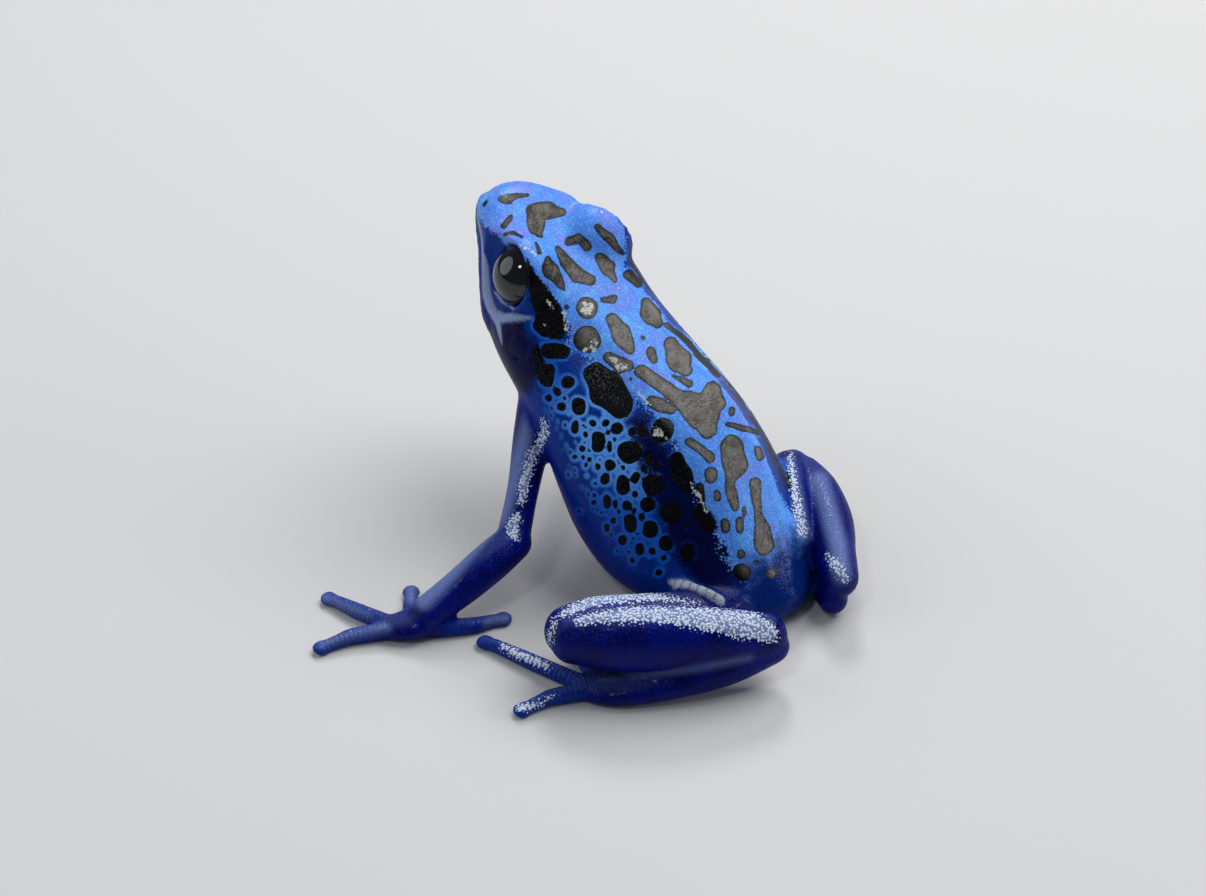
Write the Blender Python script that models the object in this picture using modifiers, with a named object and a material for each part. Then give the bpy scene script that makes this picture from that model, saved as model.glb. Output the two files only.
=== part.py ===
"""Blue poison dart frog (Dendrobates tinctorius, blue form), a still life-size model.

The frog sits upright on the floor: the belly and the folded hind legs rest on it, the fore legs
prop the chest, and the left fore leg is planted out to the side. Every body part is a closed solid
of its own, face to face with its neighbour.

Sizes are millimetres in the frog's own directions, (left, forward, up) from the floor under the
vent, and at() turns them into metres: the frog looks along -Y and its left side is at +X.
"""

import math

import bmesh
import bpy
from mathutils import Matrix, Vector

MM = 0.001                      # metres in a millimetre

# ---- driving sizes, millimetres -----------------------------------------------------------------
FRAME_LEFT = 6.345              # frog's own place of the origin: middle of the bounding box
FRAME_FORWARD = 14.76
GAP = 0.30                      # clearance between neighbouring solids
FINE = 0.16                     # voxel of the head, hands and feet
COARSE = 0.24                   # voxel of the trunk and limbs
SKULL_ROUNDS = 14               # rounds of smoothing where lids and brows rise from the skull
HEAD_ROUNDS = 3
LIMB_ROUNDS = 3
DIGIT_ROUNDS = 1
SHARP_ANGLE = 40.0              # degrees between faces that shade as an edge

EYE_RADIUS = 2.15
EYE_PLACE = (3.42, 25.2, 20.0)  # centre of the left eyeball
EYE_LOOK = (0.92, 0.27, 0.26)   # direction in which the left eye opens
NECK_PLACE = (0.0, 22.0, 15.0)  # the cut between head and trunk passes here
NECK_LEAN = 46.0                # degrees between that cut's normal and the floor
BLOCK_DEPTH, BLOCK_WIDTH = 60.0, 90.0  # of the blocks that cut there
ROUGH_STEP = 1.0                # the first, rough cut of the head lies this far behind and below
FLOOR_WIDTH, FLOOR_DEPTH = 200.0, 20.0  # of the block that cuts the flats

LID_THICK = 0.52
LID_OPENING = (3.50, 3.20, 1.90)  # half sizes of the opening between the lids
LID_OPENING_SHIFT = 2.60        # its middle lies this far before the eyeball's
NOSTRIL = (0.30, 0.22, 0.50)
NOSTRIL_ROW, NOSTRIL_POINT = 64, 10  # row of the smoothed trunk, and point of its ring
NOSTRIL_LOOK = (0.80, 0.45, 0.35)
EAR_ROW, EAR_POINT = 43, 14
EAR_RADIUS = 0.95
EAR_GROOVE = 0.20
MOUTH_CORNER_ROW = 46
MOUTH_POINT = 18
LIP_SPREAD = 0.42               # distance of a lip's middle from the mouth line
LIP_SINK = 0.16                 # the lips' middle lies this far under the skin
LIP_RADIUS = 0.36
CORNER_SINK = 0.15              # how much deeper the lips lie at the corners of the mouth
CORNER_RISE = 0.2               # share of their spread that they gain with each row from there
BEAD_END, BEAD_RISE = 0.3, 0.25  # a cord's radius at its ends, and its gain a point, as shares
MOUTH_RADIUS = 0.17

# Mid-line of head and trunk, rump to snout. Each station: top point (forward, up), bottom point
# (forward, up), half width, half width of the flat back as a share, height of its corner, height
# of the widest place (heights from -1 at the bottom to 1 at the top).
TRUNK = (
    ((0.0, 2.6), (0.1, 1.2), 1.2, 0.60, 0.70, 0.00),
    ((1.3, 4.0), (1.8, -0.1), 3.6, 0.55, 0.72, -0.10),
    ((2.9, 6.1), (4.9, -0.3), 5.8, 0.50, 0.76, -0.20),
    ((4.8, 8.8), (8.4, -0.4), 7.4, 0.44, 0.80, -0.28),
    ((7.1, 11.8), (12.3, -0.1), 8.3, 0.43, 0.82, -0.30),
    ((9.9, 14.2), (15.7, 2.0), 8.5, 0.42, 0.84, -0.30),
    ((13.0, 15.6), (18.4, 5.0), 8.1, 0.43, 0.84, -0.25),
    ((16.3, 17.1), (21.0, 7.7), 7.4, 0.46, 0.82, -0.18),
    ((19.5, 18.7), (23.9, 9.7), 6.8, 0.54, 0.82, -0.14),
    ((22.3, 20.2), (26.7, 11.6), 6.4, 0.66, 0.86, -0.08),
    ((24.9, 21.6), (28.8, 13.8), 5.7, 0.78, 0.91, -0.08),
    ((27.3, 22.7), (30.2, 15.8), 4.5, 0.86, 0.95, -0.05),
    ((29.5, 23.5), (31.4, 17.8), 3.2, 0.84, 0.92, 0.00),
    ((31.2, 23.7), (32.3, 19.2), 2.35, 0.74, 0.84, 0.00),
    ((32.3, 23.2), (32.8, 20.3), 1.6, 0.62, 0.70, 0.00),
    ((32.9, 22.5), (33.1, 21.2), 0.9, 0.60, 0.66, 0.00),
)

# Edge of the head from the snout to the eye, left side, then the limbs: each station is
# (left, forward, up, half width across, half height)
BROW = (
    (1.7, 31.4, 22.3, 0.8, 0.7),
    (2.7, 29.6, 22.0, 1.0, 0.9),
    (3.3, 27.8, 21.7, 1.15, 1.1),
    (3.5, 26.2, 21.2, 1.25, 1.1),
)
THIGH = {
    "left": (
        (2.8, 3.4, 2.2, 2.1, 2.0),
        (6.4, 3.5, 2.4, 2.1, 2.1),
        (10.2, 4.9, 3.2, 2.0, 2.3),
        (13.6, 6.7, 4.0, 1.9, 2.1),
        (15.7, 7.4, 4.3, 1.6, 1.9),
    ),
    "right": (
        (-2.8, 4.2, 3.8, 2.3, 2.6),
        (-4.4, 5.6, 4.2, 2.2, 2.7),
        (-6.4, 7.2, 4.3, 2.0, 2.4),
        (-8.4, 8.9, 4.2, 1.7, 2.0),
        (-9.5, 9.3, 4.0, 1.4, 1.7),
    ),
}
SHANK = {
    "left": (
        (16.0, 6.5, 4.3, 1.6, 1.9),
        (13.9, 4.2, 4.5, 2.1, 2.4),
        (10.8, 1.6, 4.4, 2.2, 2.5),
        (7.8, -0.7, 4.1, 1.9, 2.2),
        (5.6, -2.1, 3.8, 1.6, 1.8),
    ),
    "right": (
        (-9.7, 8.2, 3.9, 1.4, 1.7),
        (-8.7, 5.9, 4.0, 1.7, 1.9),
        (-6.8, 3.0, 3.9, 1.8, 2.0),
        (-4.7, 0.6, 3.7, 1.6, 1.8),
        (-3.3, -1.2, 3.4, 1.4, 1.6),
    ),
}
SOLE = {
    "left": (
        (5.3, -2.5, 3.0, 1.3, 1.3),
        (8.4, -1.1, 2.1, 1.4, 1.4),
        (11.8, 1.0, 1.3, 1.4, 1.1),
        (14.4, 3.1, 0.9, 1.5, 0.9),
        (15.8, 4.5, 0.7, 1.2, 0.7),
    ),
    "right": (
        (-3.0, -1.0, 1.4, 1.1, 1.2),
        (-4.6, 1.8, 0.9, 1.3, 0.9),
        (-6.3, 4.9, 0.9, 1.3, 0.9),
        (-7.7, 7.5, 0.8, 1.4, 0.8),
        (-8.5, 9.0, 0.7, 1.1, 0.7),
    ),
}
# Toes I to V: root, a bend, and the tip, each (left, forward)
TOES = {
    "left": (
        ((13.9, 3.9), (12.4, 5.4), (11.0, 6.4)),
        ((14.6, 4.3), (12.6, 6.6), (10.6, 8.6)),
        ((15.2, 4.6), (13.8, 8.2), (11.9, 11.6)),
        ((15.8, 4.9), (17.0, 9.6), (18.0, 13.7)),
        ((15.6, 4.4), (18.2, 6.0), (20.6, 6.7)),
    ),
    "right": (
        ((-7.4, 8.4), (-6.2, 9.4), (-5.2, 10.0)),
        ((-7.9, 8.9), (-6.8, 10.9), (-6.0, 12.6)),
        ((-8.3, 9.2), (-7.9, 12.1), (-7.2, 14.9)),
        ((-8.8, 9.4), (-9.4, 13.4), (-9.4, 17.2)),
        ((-9.0, 9.0), (-10.4, 11.2), (-11.4, 13.0)),
    ),
}
UPPER_ARM = {
    "left": (
        (4.8, 21.8, 11.0, 2.0, 2.3),
        (6.9, 20.8, 9.2, 1.5, 1.6),
        (9.6, 18.9, 6.9, 1.2, 1.2),
        (12.2, 17.1, 4.8, 1.25, 1.3),
    ),
    "right": (
        (-4.8, 21.8, 11.0, 2.0, 2.3),
        (-6.4, 20.4, 9.0, 1.5, 1.6),
        (-7.8, 18.2, 6.4, 1.2, 1.2),
        (-9.1, 16.4, 4.2, 1.25, 1.3),
    ),
}
FOREARM = {
    "left": (
        (12.4, 16.9, 4.6, 1.4, 1.4),
        (14.6, 16.9, 4.0, 1.5, 1.5),
        (17.4, 17.2, 2.9, 1.4, 1.4),
        (19.9, 17.8, 1.8, 1.4, 1.05),
    ),
    "right": (
        (-9.2, 16.3, 4.0, 1.4, 1.4),
        (-9.6, 18.6, 3.6, 1.6, 1.6),
        (-10.0, 21.4, 2.6, 1.45, 1.45),
        (-10.4, 24.0, 1.6, 1.15, 1.0),
    ),
}
PALM = {
    "left": (
        (19.6, 17.8, 1.6, 1.3, 0.95),
        (20.9, 18.3, 1.0, 1.5, 0.9),
        (22.1, 19.1, 0.8, 1.2, 0.7),
    ),
    "right": (
        (-10.4, 23.8, 1.6, 1.1, 0.9),
        (-10.5, 25.4, 1.0, 1.5, 0.9),
        (-10.5, 26.8, 0.8, 1.2, 0.7),
    ),
}
# Fingers I to IV
FINGERS = {
    "left": (
        ((20.2, 17.2), (17.6, 15.5), (15.4, 14.7)),
        ((20.4, 19.2), (19.5, 20.4), (18.5, 21.6)),
        ((21.9, 19.3), (22.8, 22.4), (23.4, 25.2)),
        ((22.1, 18.9), (24.6, 20.5), (27.0, 21.3)),
    ),
    "right": (
        ((-9.6, 25.6), (-7.8, 27.0), (-6.4, 28.6)),
        ((-10.1, 26.4), (-9.3, 28.8), (-8.8, 30.8)),
        ((-10.8, 26.6), (-11.4, 29.8), (-11.8, 32.6)),
        ((-11.3, 26.0), (-13.0, 28.2), (-14.3, 29.9)),
    ),
}
DIGIT_RADIUS = 0.57
ROOT_HEIGHT = 0.70              # half height of a digit where it leaves the palm or sole
NECK_SHARE = 0.85               # a digit's radius before the disc, as a share
NECK_LENGTH = 1.3               # from there to the middle of the disc
DISC_RADIUS = 0.72
DISC_HEIGHT = 0.42

# triangles left in each solid, in the torso before its front is cut off, and in the cutters
FACES = {
    "head": 3400,
    "thigh": 420,
    "shank": 400,
    "foot": 1000,
    "upper_arm": 260,
    "forearm": 260,
    "hand": 820,
    "eye": 220,
    "whole": 2200,
    "trunk_cutter": 2400,
    "limb_cutter": 1200,
}

# colour, roughness
SKIN_BLUE = ((0.035, 0.145, 0.62), 0.38)
LIMB_BLUE = ((0.006, 0.018, 0.24), 0.36)
EYE_BLACK = ((0.004, 0.004, 0.006), 0.06)


# ---- plain geometry -----------------------------------------------------------------------------
def at(left, forward, up):
    """The frog's own millimetres as a point of the model, in metres."""
    return Vector((left - FRAME_LEFT, FRAME_FORWARD - forward, up)) * MM


def catmull(p0, p1, p2, p3, t):
    """A value between p1 and p2 on the smooth curve through four numbers."""
    return 0.5 * (
        2.0 * p1
        + (p2 - p0) * t
        + (2.0 * p0 - 5.0 * p1 + 4.0 * p2 - p3) * t * t
        + (3.0 * p1 - p0 - 3.0 * p2 + p3) * t ** 3
    )


def smooth_rows(rows, steps, closed=False):
    """Rows of numbers, resampled on a smooth curve with so many steps between two of them."""
    count = len(rows)
    result = []
    spans = count if closed else count - 1
    for i in range(spans):
        if closed:
            four = [rows[(i + k) % count] for k in (-1, 0, 1, 2)]
        else:
            four = [rows[min(max(i + k, 0), count - 1)] for k in (-1, 0, 1, 2)]
        for step in range(steps):
            t = step / steps
            result.append([catmull(*values, t) for values in zip(*four)])
    if not closed:
        result.append(list(rows[-1]))
    return result


def skin_rings(name, rings):
    """A closed mesh object from rings of points, each end shut by a fan to its middle."""
    bm = bmesh.new()
    loops = [[bm.verts.new(point) for point in ring] for ring in rings]
    for first, second in zip(loops, loops[1:]):
        for i in range(len(first)):
            j = (i + 1) % len(first)
            bm.faces.new((first[i], first[j], second[j], second[i]))
    for loop in (loops[0], loops[-1]):
        middle = bm.verts.new(sum((v.co for v in loop), Vector()) / len(loop))
        for i in range(len(loop)):
            bm.faces.new((loop[i], loop[(i + 1) % len(loop)], middle))
    bmesh.ops.recalc_face_normals(bm, faces=bm.faces)
    return mesh_object(name, bm)


def mesh_object(name, bm):
    mesh = bpy.data.meshes.new(name)
    bm.to_mesh(mesh)
    bm.free()
    obj = bpy.data.objects.new(name, mesh)
    bpy.context.scene.collection.objects.link(obj)
    return obj


def ball(name, place, radii, turn=None):
    """An ellipsoid at a place of the frog, with its radii along the turned axes."""
    bm = bmesh.new()
    bmesh.ops.create_uvsphere(bm, u_segments=48, v_segments=32, radius=1.0)
    scale = Matrix.Diagonal((radii[0] * MM, radii[1] * MM, radii[2] * MM, 1.0))
    turned = turn.to_4x4() if turn else Matrix.Identity(4)
    bmesh.ops.transform(bm, matrix=Matrix.Translation(at(*place)) @ turned @ scale, verts=bm.verts)
    return mesh_object(name, bm)


def tube(name, stations, sides=20, steps=6, cap_rings=5):
    """A limb of oval section through its stations, with a round end at both sides."""
    rows = smooth_rows(stations, steps)
    centres = [at(*row[:3]) for row in rows]
    rings = []
    last = len(rows) - 1
    for i, row in enumerate(rows):
        along = (centres[min(i + 1, last)] - centres[max(i - 1, 0)]).normalized()
        across = along.cross(Vector((0.0, 0.0, 1.0))).normalized()
        upward = across.cross(along)
        width, height = row[3] * MM, row[4] * MM

        def ring(centre, share, across=across, upward=upward, width=width, height=height):
            points = []
            for k in range(sides):
                angle = 2.0 * math.pi * k / sides
                points.append(
                    centre
                    + across * (math.cos(angle) * width * share)
                    + upward * (math.sin(angle) * height * share)
                )
            return points

        reach = min(width, height)
        caps = []
        for k in range(1, cap_rings + 1):
            angle = 0.5 * math.pi * k / (cap_rings + 0.5)
            caps.append((math.sin(angle) * reach, math.cos(angle)))
        if i == 0:
            for distance, share in reversed(caps):
                rings.append(ring(centres[0] - along * distance, share))
        rings.append(ring(centres[i], 1.0))
        if i == last:
            for distance, share in caps:
                rings.append(ring(centres[last] + along * distance, share))
    return skin_rings(name, rings)


def digit(name, root, bend, tip):
    """A finger or toe that lies on the floor and ends in a flat round disc."""
    thick = DIGIT_RADIUS
    reach = Vector(tip) - Vector(bend)
    neck = Vector(tip) - reach.normalized() * NECK_LENGTH
    slim = thick * NECK_SHARE
    flat = DISC_HEIGHT * 0.9
    stations = (
        (*root, ROOT_HEIGHT, thick, ROOT_HEIGHT),
        (*bend, thick * 0.95, thick, thick),
        (neck.x, neck.y, slim, slim, slim),
        (*tip, flat, slim, DISC_HEIGHT),
    )
    stalk = tube(name, stations, sides=14, steps=5, cap_rings=3)
    disc = ball(name + "_disc", (*tip, flat), (DISC_RADIUS, DISC_RADIUS, DISC_HEIGHT))
    return [stalk, disc]


def section(station_row):
    """One closed ring of the head or trunk from its interpolated station."""
    top_f, top_u, low_f, low_u, half, flat, corner, wide = station_row
    ridge = half * flat
    outline = (
        (0.0, 1.00),
        (ridge * 0.62, 0.98),
        (ridge, corner),
        ((ridge + half) * 0.55, 0.5 * (corner + wide) + 0.10),
        (half, wide),
        (half * 0.88, wide * 0.5 - 0.56),
        (half * 0.50, -0.95),
    )
    mirrored = tuple((-x, v) for x, v in reversed(outline[1:]))
    loop = smooth_rows(outline + ((0.0, -1.0),) + mirrored, 4, closed=True)
    middle_f, middle_u = 0.5 * (top_f + low_f), 0.5 * (top_u + low_u)
    rise_f, rise_u = 0.5 * (top_f - low_f), 0.5 * (top_u - low_u)
    return [at(x, middle_f + rise_f * v, middle_u + rise_u * v) for x, v in loop]


def trunk_rings():
    rows = [(*top, *low, *rest) for top, low, *rest in TRUNK]
    return [section(row) for row in smooth_rows(rows, 5)]


def core():
    return skin_rings("core", trunk_rings())


# ---- joining and cutting ------------------------------------------------------------------------
def bake(obj):
    """Replaces an object's mesh by what its modifiers make of it."""
    graph = bpy.context.evaluated_depsgraph_get()
    mesh = bpy.data.meshes.new_from_object(obj.evaluated_get(graph))
    obj.modifiers.clear()
    old = obj.data
    obj.data = mesh
    bpy.data.meshes.remove(old)
    return obj


def join(name, pieces):
    bm = bmesh.new()
    for piece in pieces:
        bm.from_mesh(piece.data)
        discard(piece)
    return mesh_object(name, bm)


def discard(obj):
    mesh = obj.data
    bpy.data.objects.remove(obj)
    bpy.data.meshes.remove(mesh)


def copy_of(obj, name):
    other = bpy.data.objects.new(name, obj.data.copy())
    bpy.context.scene.collection.objects.link(other)
    return other


def fuse(name, pieces, voxel, rounds=LIMB_ROUNDS):
    """One smooth closed body from overlapping pieces."""
    body = join(name, pieces)
    remesh = body.modifiers.new("fuse", "REMESH")
    remesh.mode = "VOXEL"
    remesh.voxel_size = voxel * MM
    smooth = body.modifiers.new("soften", "SMOOTH")
    smooth.factor = 0.5
    smooth.iterations = rounds
    return bake(body)


def thin_out(obj, faces):
    """Brings a mesh down to a number of triangles, keeping its shape."""
    triangles = sum(len(p.vertices) - 2 for p in obj.data.polygons)
    modifier = obj.modifiers.new("thin", "DECIMATE")
    modifier.ratio = min(1.0, faces / triangles)
    modifier.use_collapse_triangulate = True
    return bake(obj)


def swell(obj, name, distance, faces):
    """A closed copy that stands off the original by a distance."""
    other = copy_of(obj, name)
    grow = other.modifiers.new("grow", "DISPLACE")
    grow.mid_level = 0.0
    grow.strength = distance * MM
    remesh = other.modifiers.new("close", "REMESH")
    remesh.mode = "VOXEL"
    remesh.voxel_size = COARSE * MM
    bake(other)
    return thin_out(other, faces)


def cut(obj, cutter, solver="MANIFOLD", operation="DIFFERENCE"):
    boolean = obj.modifiers.new("cut", "BOOLEAN")
    boolean.object = cutter
    boolean.operation = operation
    boolean.solver = solver
    return bake(obj)


def keep_largest(obj):
    """Keeps only the largest closed surface of a mesh."""
    bm = bmesh.new()
    bm.from_mesh(obj.data)
    bmesh.ops.triangulate(bm, faces=bm.faces)
    left = set(bm.verts)
    islands = []
    while left:
        seed = left.pop()
        island = {seed}
        edge_of_search = [seed]
        while edge_of_search:
            vert = edge_of_search.pop()
            for edge in vert.link_edges:
                other = edge.other_vert(vert)
                if other in left:
                    left.discard(other)
                    island.add(other)
                    edge_of_search.append(other)
        islands.append(island)
    islands.sort(key=len, reverse=True)
    for island in islands[1:]:
        bmesh.ops.delete(bm, geom=list(island), context="VERTS")
    bm.to_mesh(obj.data)
    bm.free()
    return obj


def slab(name, place, lean, thickness, reach):
    """A flat box across the frog whose middle plane passes a place, leaning by degrees."""
    bm = bmesh.new()
    bmesh.ops.create_cube(bm, size=1.0)
    scale = Matrix.Diagonal((reach * MM, thickness * MM, reach * MM, 1.0))
    turn = Matrix.Rotation(-math.radians(90.0 - lean), 4, "X")
    bmesh.ops.transform(bm, matrix=Matrix.Translation(at(*place)) @ turn @ scale, verts=bm.verts)
    return mesh_object(name, bm)


def floor_block():
    bm = bmesh.new()
    bmesh.ops.create_cube(bm, size=1.0)
    scale = Matrix.Diagonal((FLOOR_WIDTH * MM, FLOOR_WIDTH * MM, FLOOR_DEPTH * MM, 1.0))
    below = Matrix.Translation((0.0, 0.0, -0.5 * FLOOR_DEPTH * MM))
    bmesh.ops.transform(bm, matrix=below @ scale, verts=bm.verts)
    return mesh_object("floor_cutter", bm)


# ---- head ---------------------------------------------------------------------------------------
def on_side(place, side):
    """A place of the left half, or its mirror image for side -1."""
    return (place[0] * side, place[1], place[2])


def pointing(look, side):
    """The turn that lays local Z along a look direction, local X staying level."""
    direction = Vector((look[0] * side, -look[1], look[2])).normalized()
    across = Vector((0.0, 0.0, 1.0)).cross(direction).normalized()
    return Matrix((across, direction.cross(across), direction)).transposed()


def along(place, look, side, distance):
    """A place moved along a look direction."""
    step = Vector(look).normalized() * distance
    return on_side((place[0] + step.x, place[1] + step.y, place[2] + step.z), side)


def mouth_line(drop, sink):
    """Points of a line round the jaws, from corner to corner: so far below the mouth, so deep."""
    left_half = []
    for ring in trunk_rings()[MOUTH_CORNER_ROW:]:
        edge = ring[MOUTH_POINT]
        downward = (ring[MOUTH_POINT + 1] - ring[MOUTH_POINT - 1]).normalized()
        middle = sum(ring, Vector()) / len(ring)
        inward = (middle - edge).normalized()
        spread = min(1.0, CORNER_RISE * (1 + len(left_half)))
        depth = sink + CORNER_SINK * (1.0 - spread)
        left_half.append(edge + (downward * drop * spread + inward * depth) * MM)
    right_half = [Vector((-2.0 * FRAME_LEFT * MM - p.x, p.y, p.z)) for p in reversed(left_half)]
    return left_half + right_half


def skin_point(row, point, side):
    """A point of the head's or trunk's skin, on the left side or mirrored to the right."""
    place = trunk_rings()[row][point]
    if side < 0:
        place = Vector((-2.0 * FRAME_LEFT * MM - place.x, place.y, place.z))
    return place


def bead(name, points, radius, sides=10):
    """A round cord of a radius through points of the model."""
    rings = []
    last = len(points) - 1
    for i, point in enumerate(points):
        direction = (points[min(i + 1, last)] - points[max(i - 1, 0)]).normalized()
        across = direction.cross(Vector((0.0, 0.0, 1.0))).normalized()
        upward = across.cross(direction)
        fade = min(1.0, BEAD_END + BEAD_RISE * min(i, last - i))
        ring = []
        for k in range(sides):
            angle = 2.0 * math.pi * k / sides
            offset = across * math.cos(angle) + upward * math.sin(angle)
            ring.append(point + offset * (radius * fade * MM))
        rings.append(ring)
    return skin_rings(name, rings)


def lids_and_brows():
    """The bulges of both eyes, from which the lids are cut, and the edges that lead to them."""
    reach = EYE_RADIUS + GAP + LID_THICK
    pieces = []
    for side in (1, -1):
        pieces.append(ball("lids", on_side(EYE_PLACE, side), (reach, reach, reach)))
        stations = [on_side(station[:3], side) + station[3:] for station in BROW]
        pieces.append(tube("brow", stations))
    return pieces


def lips():
    spread = (-LIP_SPREAD, LIP_SPREAD)
    return [bead("lip", mouth_line(drop, LIP_SINK), LIP_RADIUS) for drop in spread]


def carve_head(head):
    """Cuts the sockets, the openings between the lids, the mouth, nostrils and ear rings."""
    cutters = [bead("mouth", mouth_line(0.0, 0.0), MOUTH_RADIUS)]
    for side in (1, -1):
        socket = EYE_RADIUS + GAP
        cutters.append(ball("socket", on_side(EYE_PLACE, side), (socket, socket, socket)))
        opening_place = along(EYE_PLACE, EYE_LOOK, side, LID_OPENING_SHIFT)
        cutters.append(ball("opening", opening_place, LID_OPENING, pointing(EYE_LOOK, side)))
        nostril = ball("nostril", (0.0, 0.0, 0.0), NOSTRIL, pointing(NOSTRIL_LOOK, side))
        move_to(nostril, skin_point(NOSTRIL_ROW, NOSTRIL_POINT, side))
        cutters.append(nostril)
        cutters.append(ear_ring(side))
    for cutter in cutters:
        cut(head, cutter)
        discard(cutter)
    return head


def move_to(obj, place):
    """Moves a form made round the frog's own zero point to a point of the model."""
    obj.data.transform(Matrix.Translation(place - at(0.0, 0.0, 0.0)))


def ear_ring(side):
    """The groove round the eardrum, flat on the side of the head."""
    bm = bmesh.new()
    middle = skin_point(EAR_ROW, EAR_POINT, side)
    ahead = skin_point(EAR_ROW + 1, EAR_POINT, side) - skin_point(EAR_ROW - 1, EAR_POINT, side)
    down = skin_point(EAR_ROW, EAR_POINT + 1, side) - skin_point(EAR_ROW, EAR_POINT - 1, side)
    ahead.normalize()
    off_skin = ahead.cross(down).normalized()
    turn = Matrix((ahead, off_skin.cross(ahead), off_skin)).transposed()
    rings = []
    for i in range(32):
        angle = 2.0 * math.pi * i / 32
        outward = Vector((math.cos(angle), math.sin(angle), 0.0))
        ring = []
        for k in range(8):
            tilt = 2.0 * math.pi * k / 8
            arm = outward * (EAR_RADIUS + EAR_GROOVE * math.cos(tilt))
            arm.z = EAR_GROOVE * math.sin(tilt)
            ring.append(bm.verts.new(middle + turn @ arm * MM))
        rings.append(ring)
    for i in range(32):
        for k in range(8):
            first, second = rings[i], rings[(i + 1) % 32]
            other = (k + 1) % 8
            bm.faces.new((first[k], first[other], second[other], second[k]))
    bmesh.ops.recalc_face_normals(bm, faces=bm.faces)
    return mesh_object("ear_ring", bm)


def half_space(name, place, lean, side):
    """A large block on one side of the neck cut, reaching half a gap past it."""
    angle = math.radians(lean)
    normal = Vector((0.0, math.cos(angle), math.sin(angle)))
    shift = normal * side * 0.5 * (BLOCK_DEPTH - GAP)
    middle = (place[0], place[1] + shift.y, place[2] + shift.z)
    return slab(name, middle, 90.0 - lean, BLOCK_DEPTH, BLOCK_WIDTH)


# ---- the frog -----------------------------------------------------------------------------------
def material(name, look):
    colour, roughness = look
    mat = bpy.data.materials.new(name)
    mat.use_nodes = True
    shader = mat.node_tree.nodes["Principled BSDF"]
    shader.inputs["Base Color"].default_value = (*colour, 1.0)
    shader.inputs["Roughness"].default_value = roughness
    shader.inputs["Metallic"].default_value = 0.0
    mat.diffuse_color = (*colour, 1.0)
    return mat


def finish(obj, name, collection, look):
    obj.name = name
    obj.data.name = name
    obj.data.materials.clear()
    obj.data.materials.append(material(name + "_skin", look))
    for holder in list(obj.users_collection):
        holder.objects.unlink(obj)
    collection.objects.link(obj)
    obj.data.shade_smooth()
    obj.data.set_sharp_from_angle(angle=math.radians(SHARP_ANGLE))
    return obj


def limb_chain(side, trunk_swollen, floor):
    """The five parts of one side's legs, each cut clear of the ones it folds against."""
    parts = {}

    thigh = fuse("thigh", [tube("thigh", THIGH[side])], COARSE)
    shank = fuse("shank", [tube("shank", SHANK[side])], COARSE)
    pieces = [tube("sole", SOLE[side])]
    for i, row in enumerate(TOES[side]):
        pieces += digit("toe_%d" % i, *row)
    foot = fuse("foot", pieces, FINE, DIGIT_ROUNDS)

    upper = fuse("upper_arm", [tube("upper_arm", UPPER_ARM[side])], COARSE)
    fore = fuse("forearm", [tube("forearm", FOREARM[side])], COARSE)
    pieces = [tube("palm", PALM[side])]
    for i, row in enumerate(FINGERS[side]):
        pieces += digit("finger_%d" % i, *row)
    hand = fuse("hand", pieces, FINE, DIGIT_ROUNDS)

    for chain in ((("thigh", thigh), ("shank", shank), ("foot", foot)),
                  (("upper_arm", upper), ("forearm", fore), ("hand", hand))):
        swollen = [trunk_swollen]
        for name, part in chain:
            grown = swell(part, name + "_cutter", GAP, FACES["limb_cutter"])
            thin_out(part, FACES[name])
            for cutter in swollen:
                cut(part, cutter)
            cut(part, floor)
            keep_largest(part)
            parts[name] = part
            swollen.append(grown)
        for grown in swollen[1:]:
            discard(grown)
    return parts


def main():
    for obj in list(bpy.data.objects):
        bpy.data.objects.remove(obj)
    collection = bpy.data.collections.new("poison_dart_frog")
    bpy.context.scene.collection.children.link(collection)

    floor = floor_block()
    whole = fuse("whole", [core()], COARSE)
    trunk_swollen = swell(whole, "trunk_cutter", GAP, FACES["trunk_cutter"])
    thin_out(whole, FACES["whole"])
    cut(whole, floor)
    ahead = half_space("ahead", NECK_PLACE, NECK_LEAN, 1.0)
    behind = half_space("behind", NECK_PLACE, NECK_LEAN, -1.0)
    cut(whole, ahead)
    keep_largest(whole)
    finish(whole, "torso", collection, SKIN_BLUE)

    skull = fuse("skull", [core()] + lids_and_brows(), COARSE, SKULL_ROUNDS)
    head = fuse("head", [skull] + lips(), FINE, HEAD_ROUNDS)
    rough_place = (0.0, NECK_PLACE[1] - ROUGH_STEP, NECK_PLACE[2] - ROUGH_STEP)
    rough = half_space("rough", rough_place, NECK_LEAN, -1.0)
    cut(head, rough)
    carve_head(head)
    keep_largest(head)
    thin_out(head, FACES["head"])
    cut(head, behind)
    keep_largest(head)
    finish(head, "head", collection, SKIN_BLUE)
    for side, name in ((1, "eye_left"), (-1, "eye_right")):
        radii = (EYE_RADIUS, EYE_RADIUS, EYE_RADIUS)
        eye = thin_out(ball(name, on_side(EYE_PLACE, side), radii), FACES["eye"])
        finish(eye, name, collection, EYE_BLACK)
    for cutter in (ahead, behind, rough):
        discard(cutter)

    for side in ("left", "right"):
        for name, part in limb_chain(side, trunk_swollen, floor).items():
            finish(part, "%s_%s" % (name, side), collection, LIMB_BLUE)
    discard(trunk_swollen)
    discard(floor)


main()
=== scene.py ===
"""Blue poison dart frog, still model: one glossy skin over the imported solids, and its two eyes.

The skin repeats the solids' own sections, finer, and fuses them into one surface. The markings are
chains of round marks, each placed by a pixel of the photograph and laid on the skin there. Sizes
are millimetres in the frog's own directions, (left, forward, up); at() gives the frame's metres.
"""

import math

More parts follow.
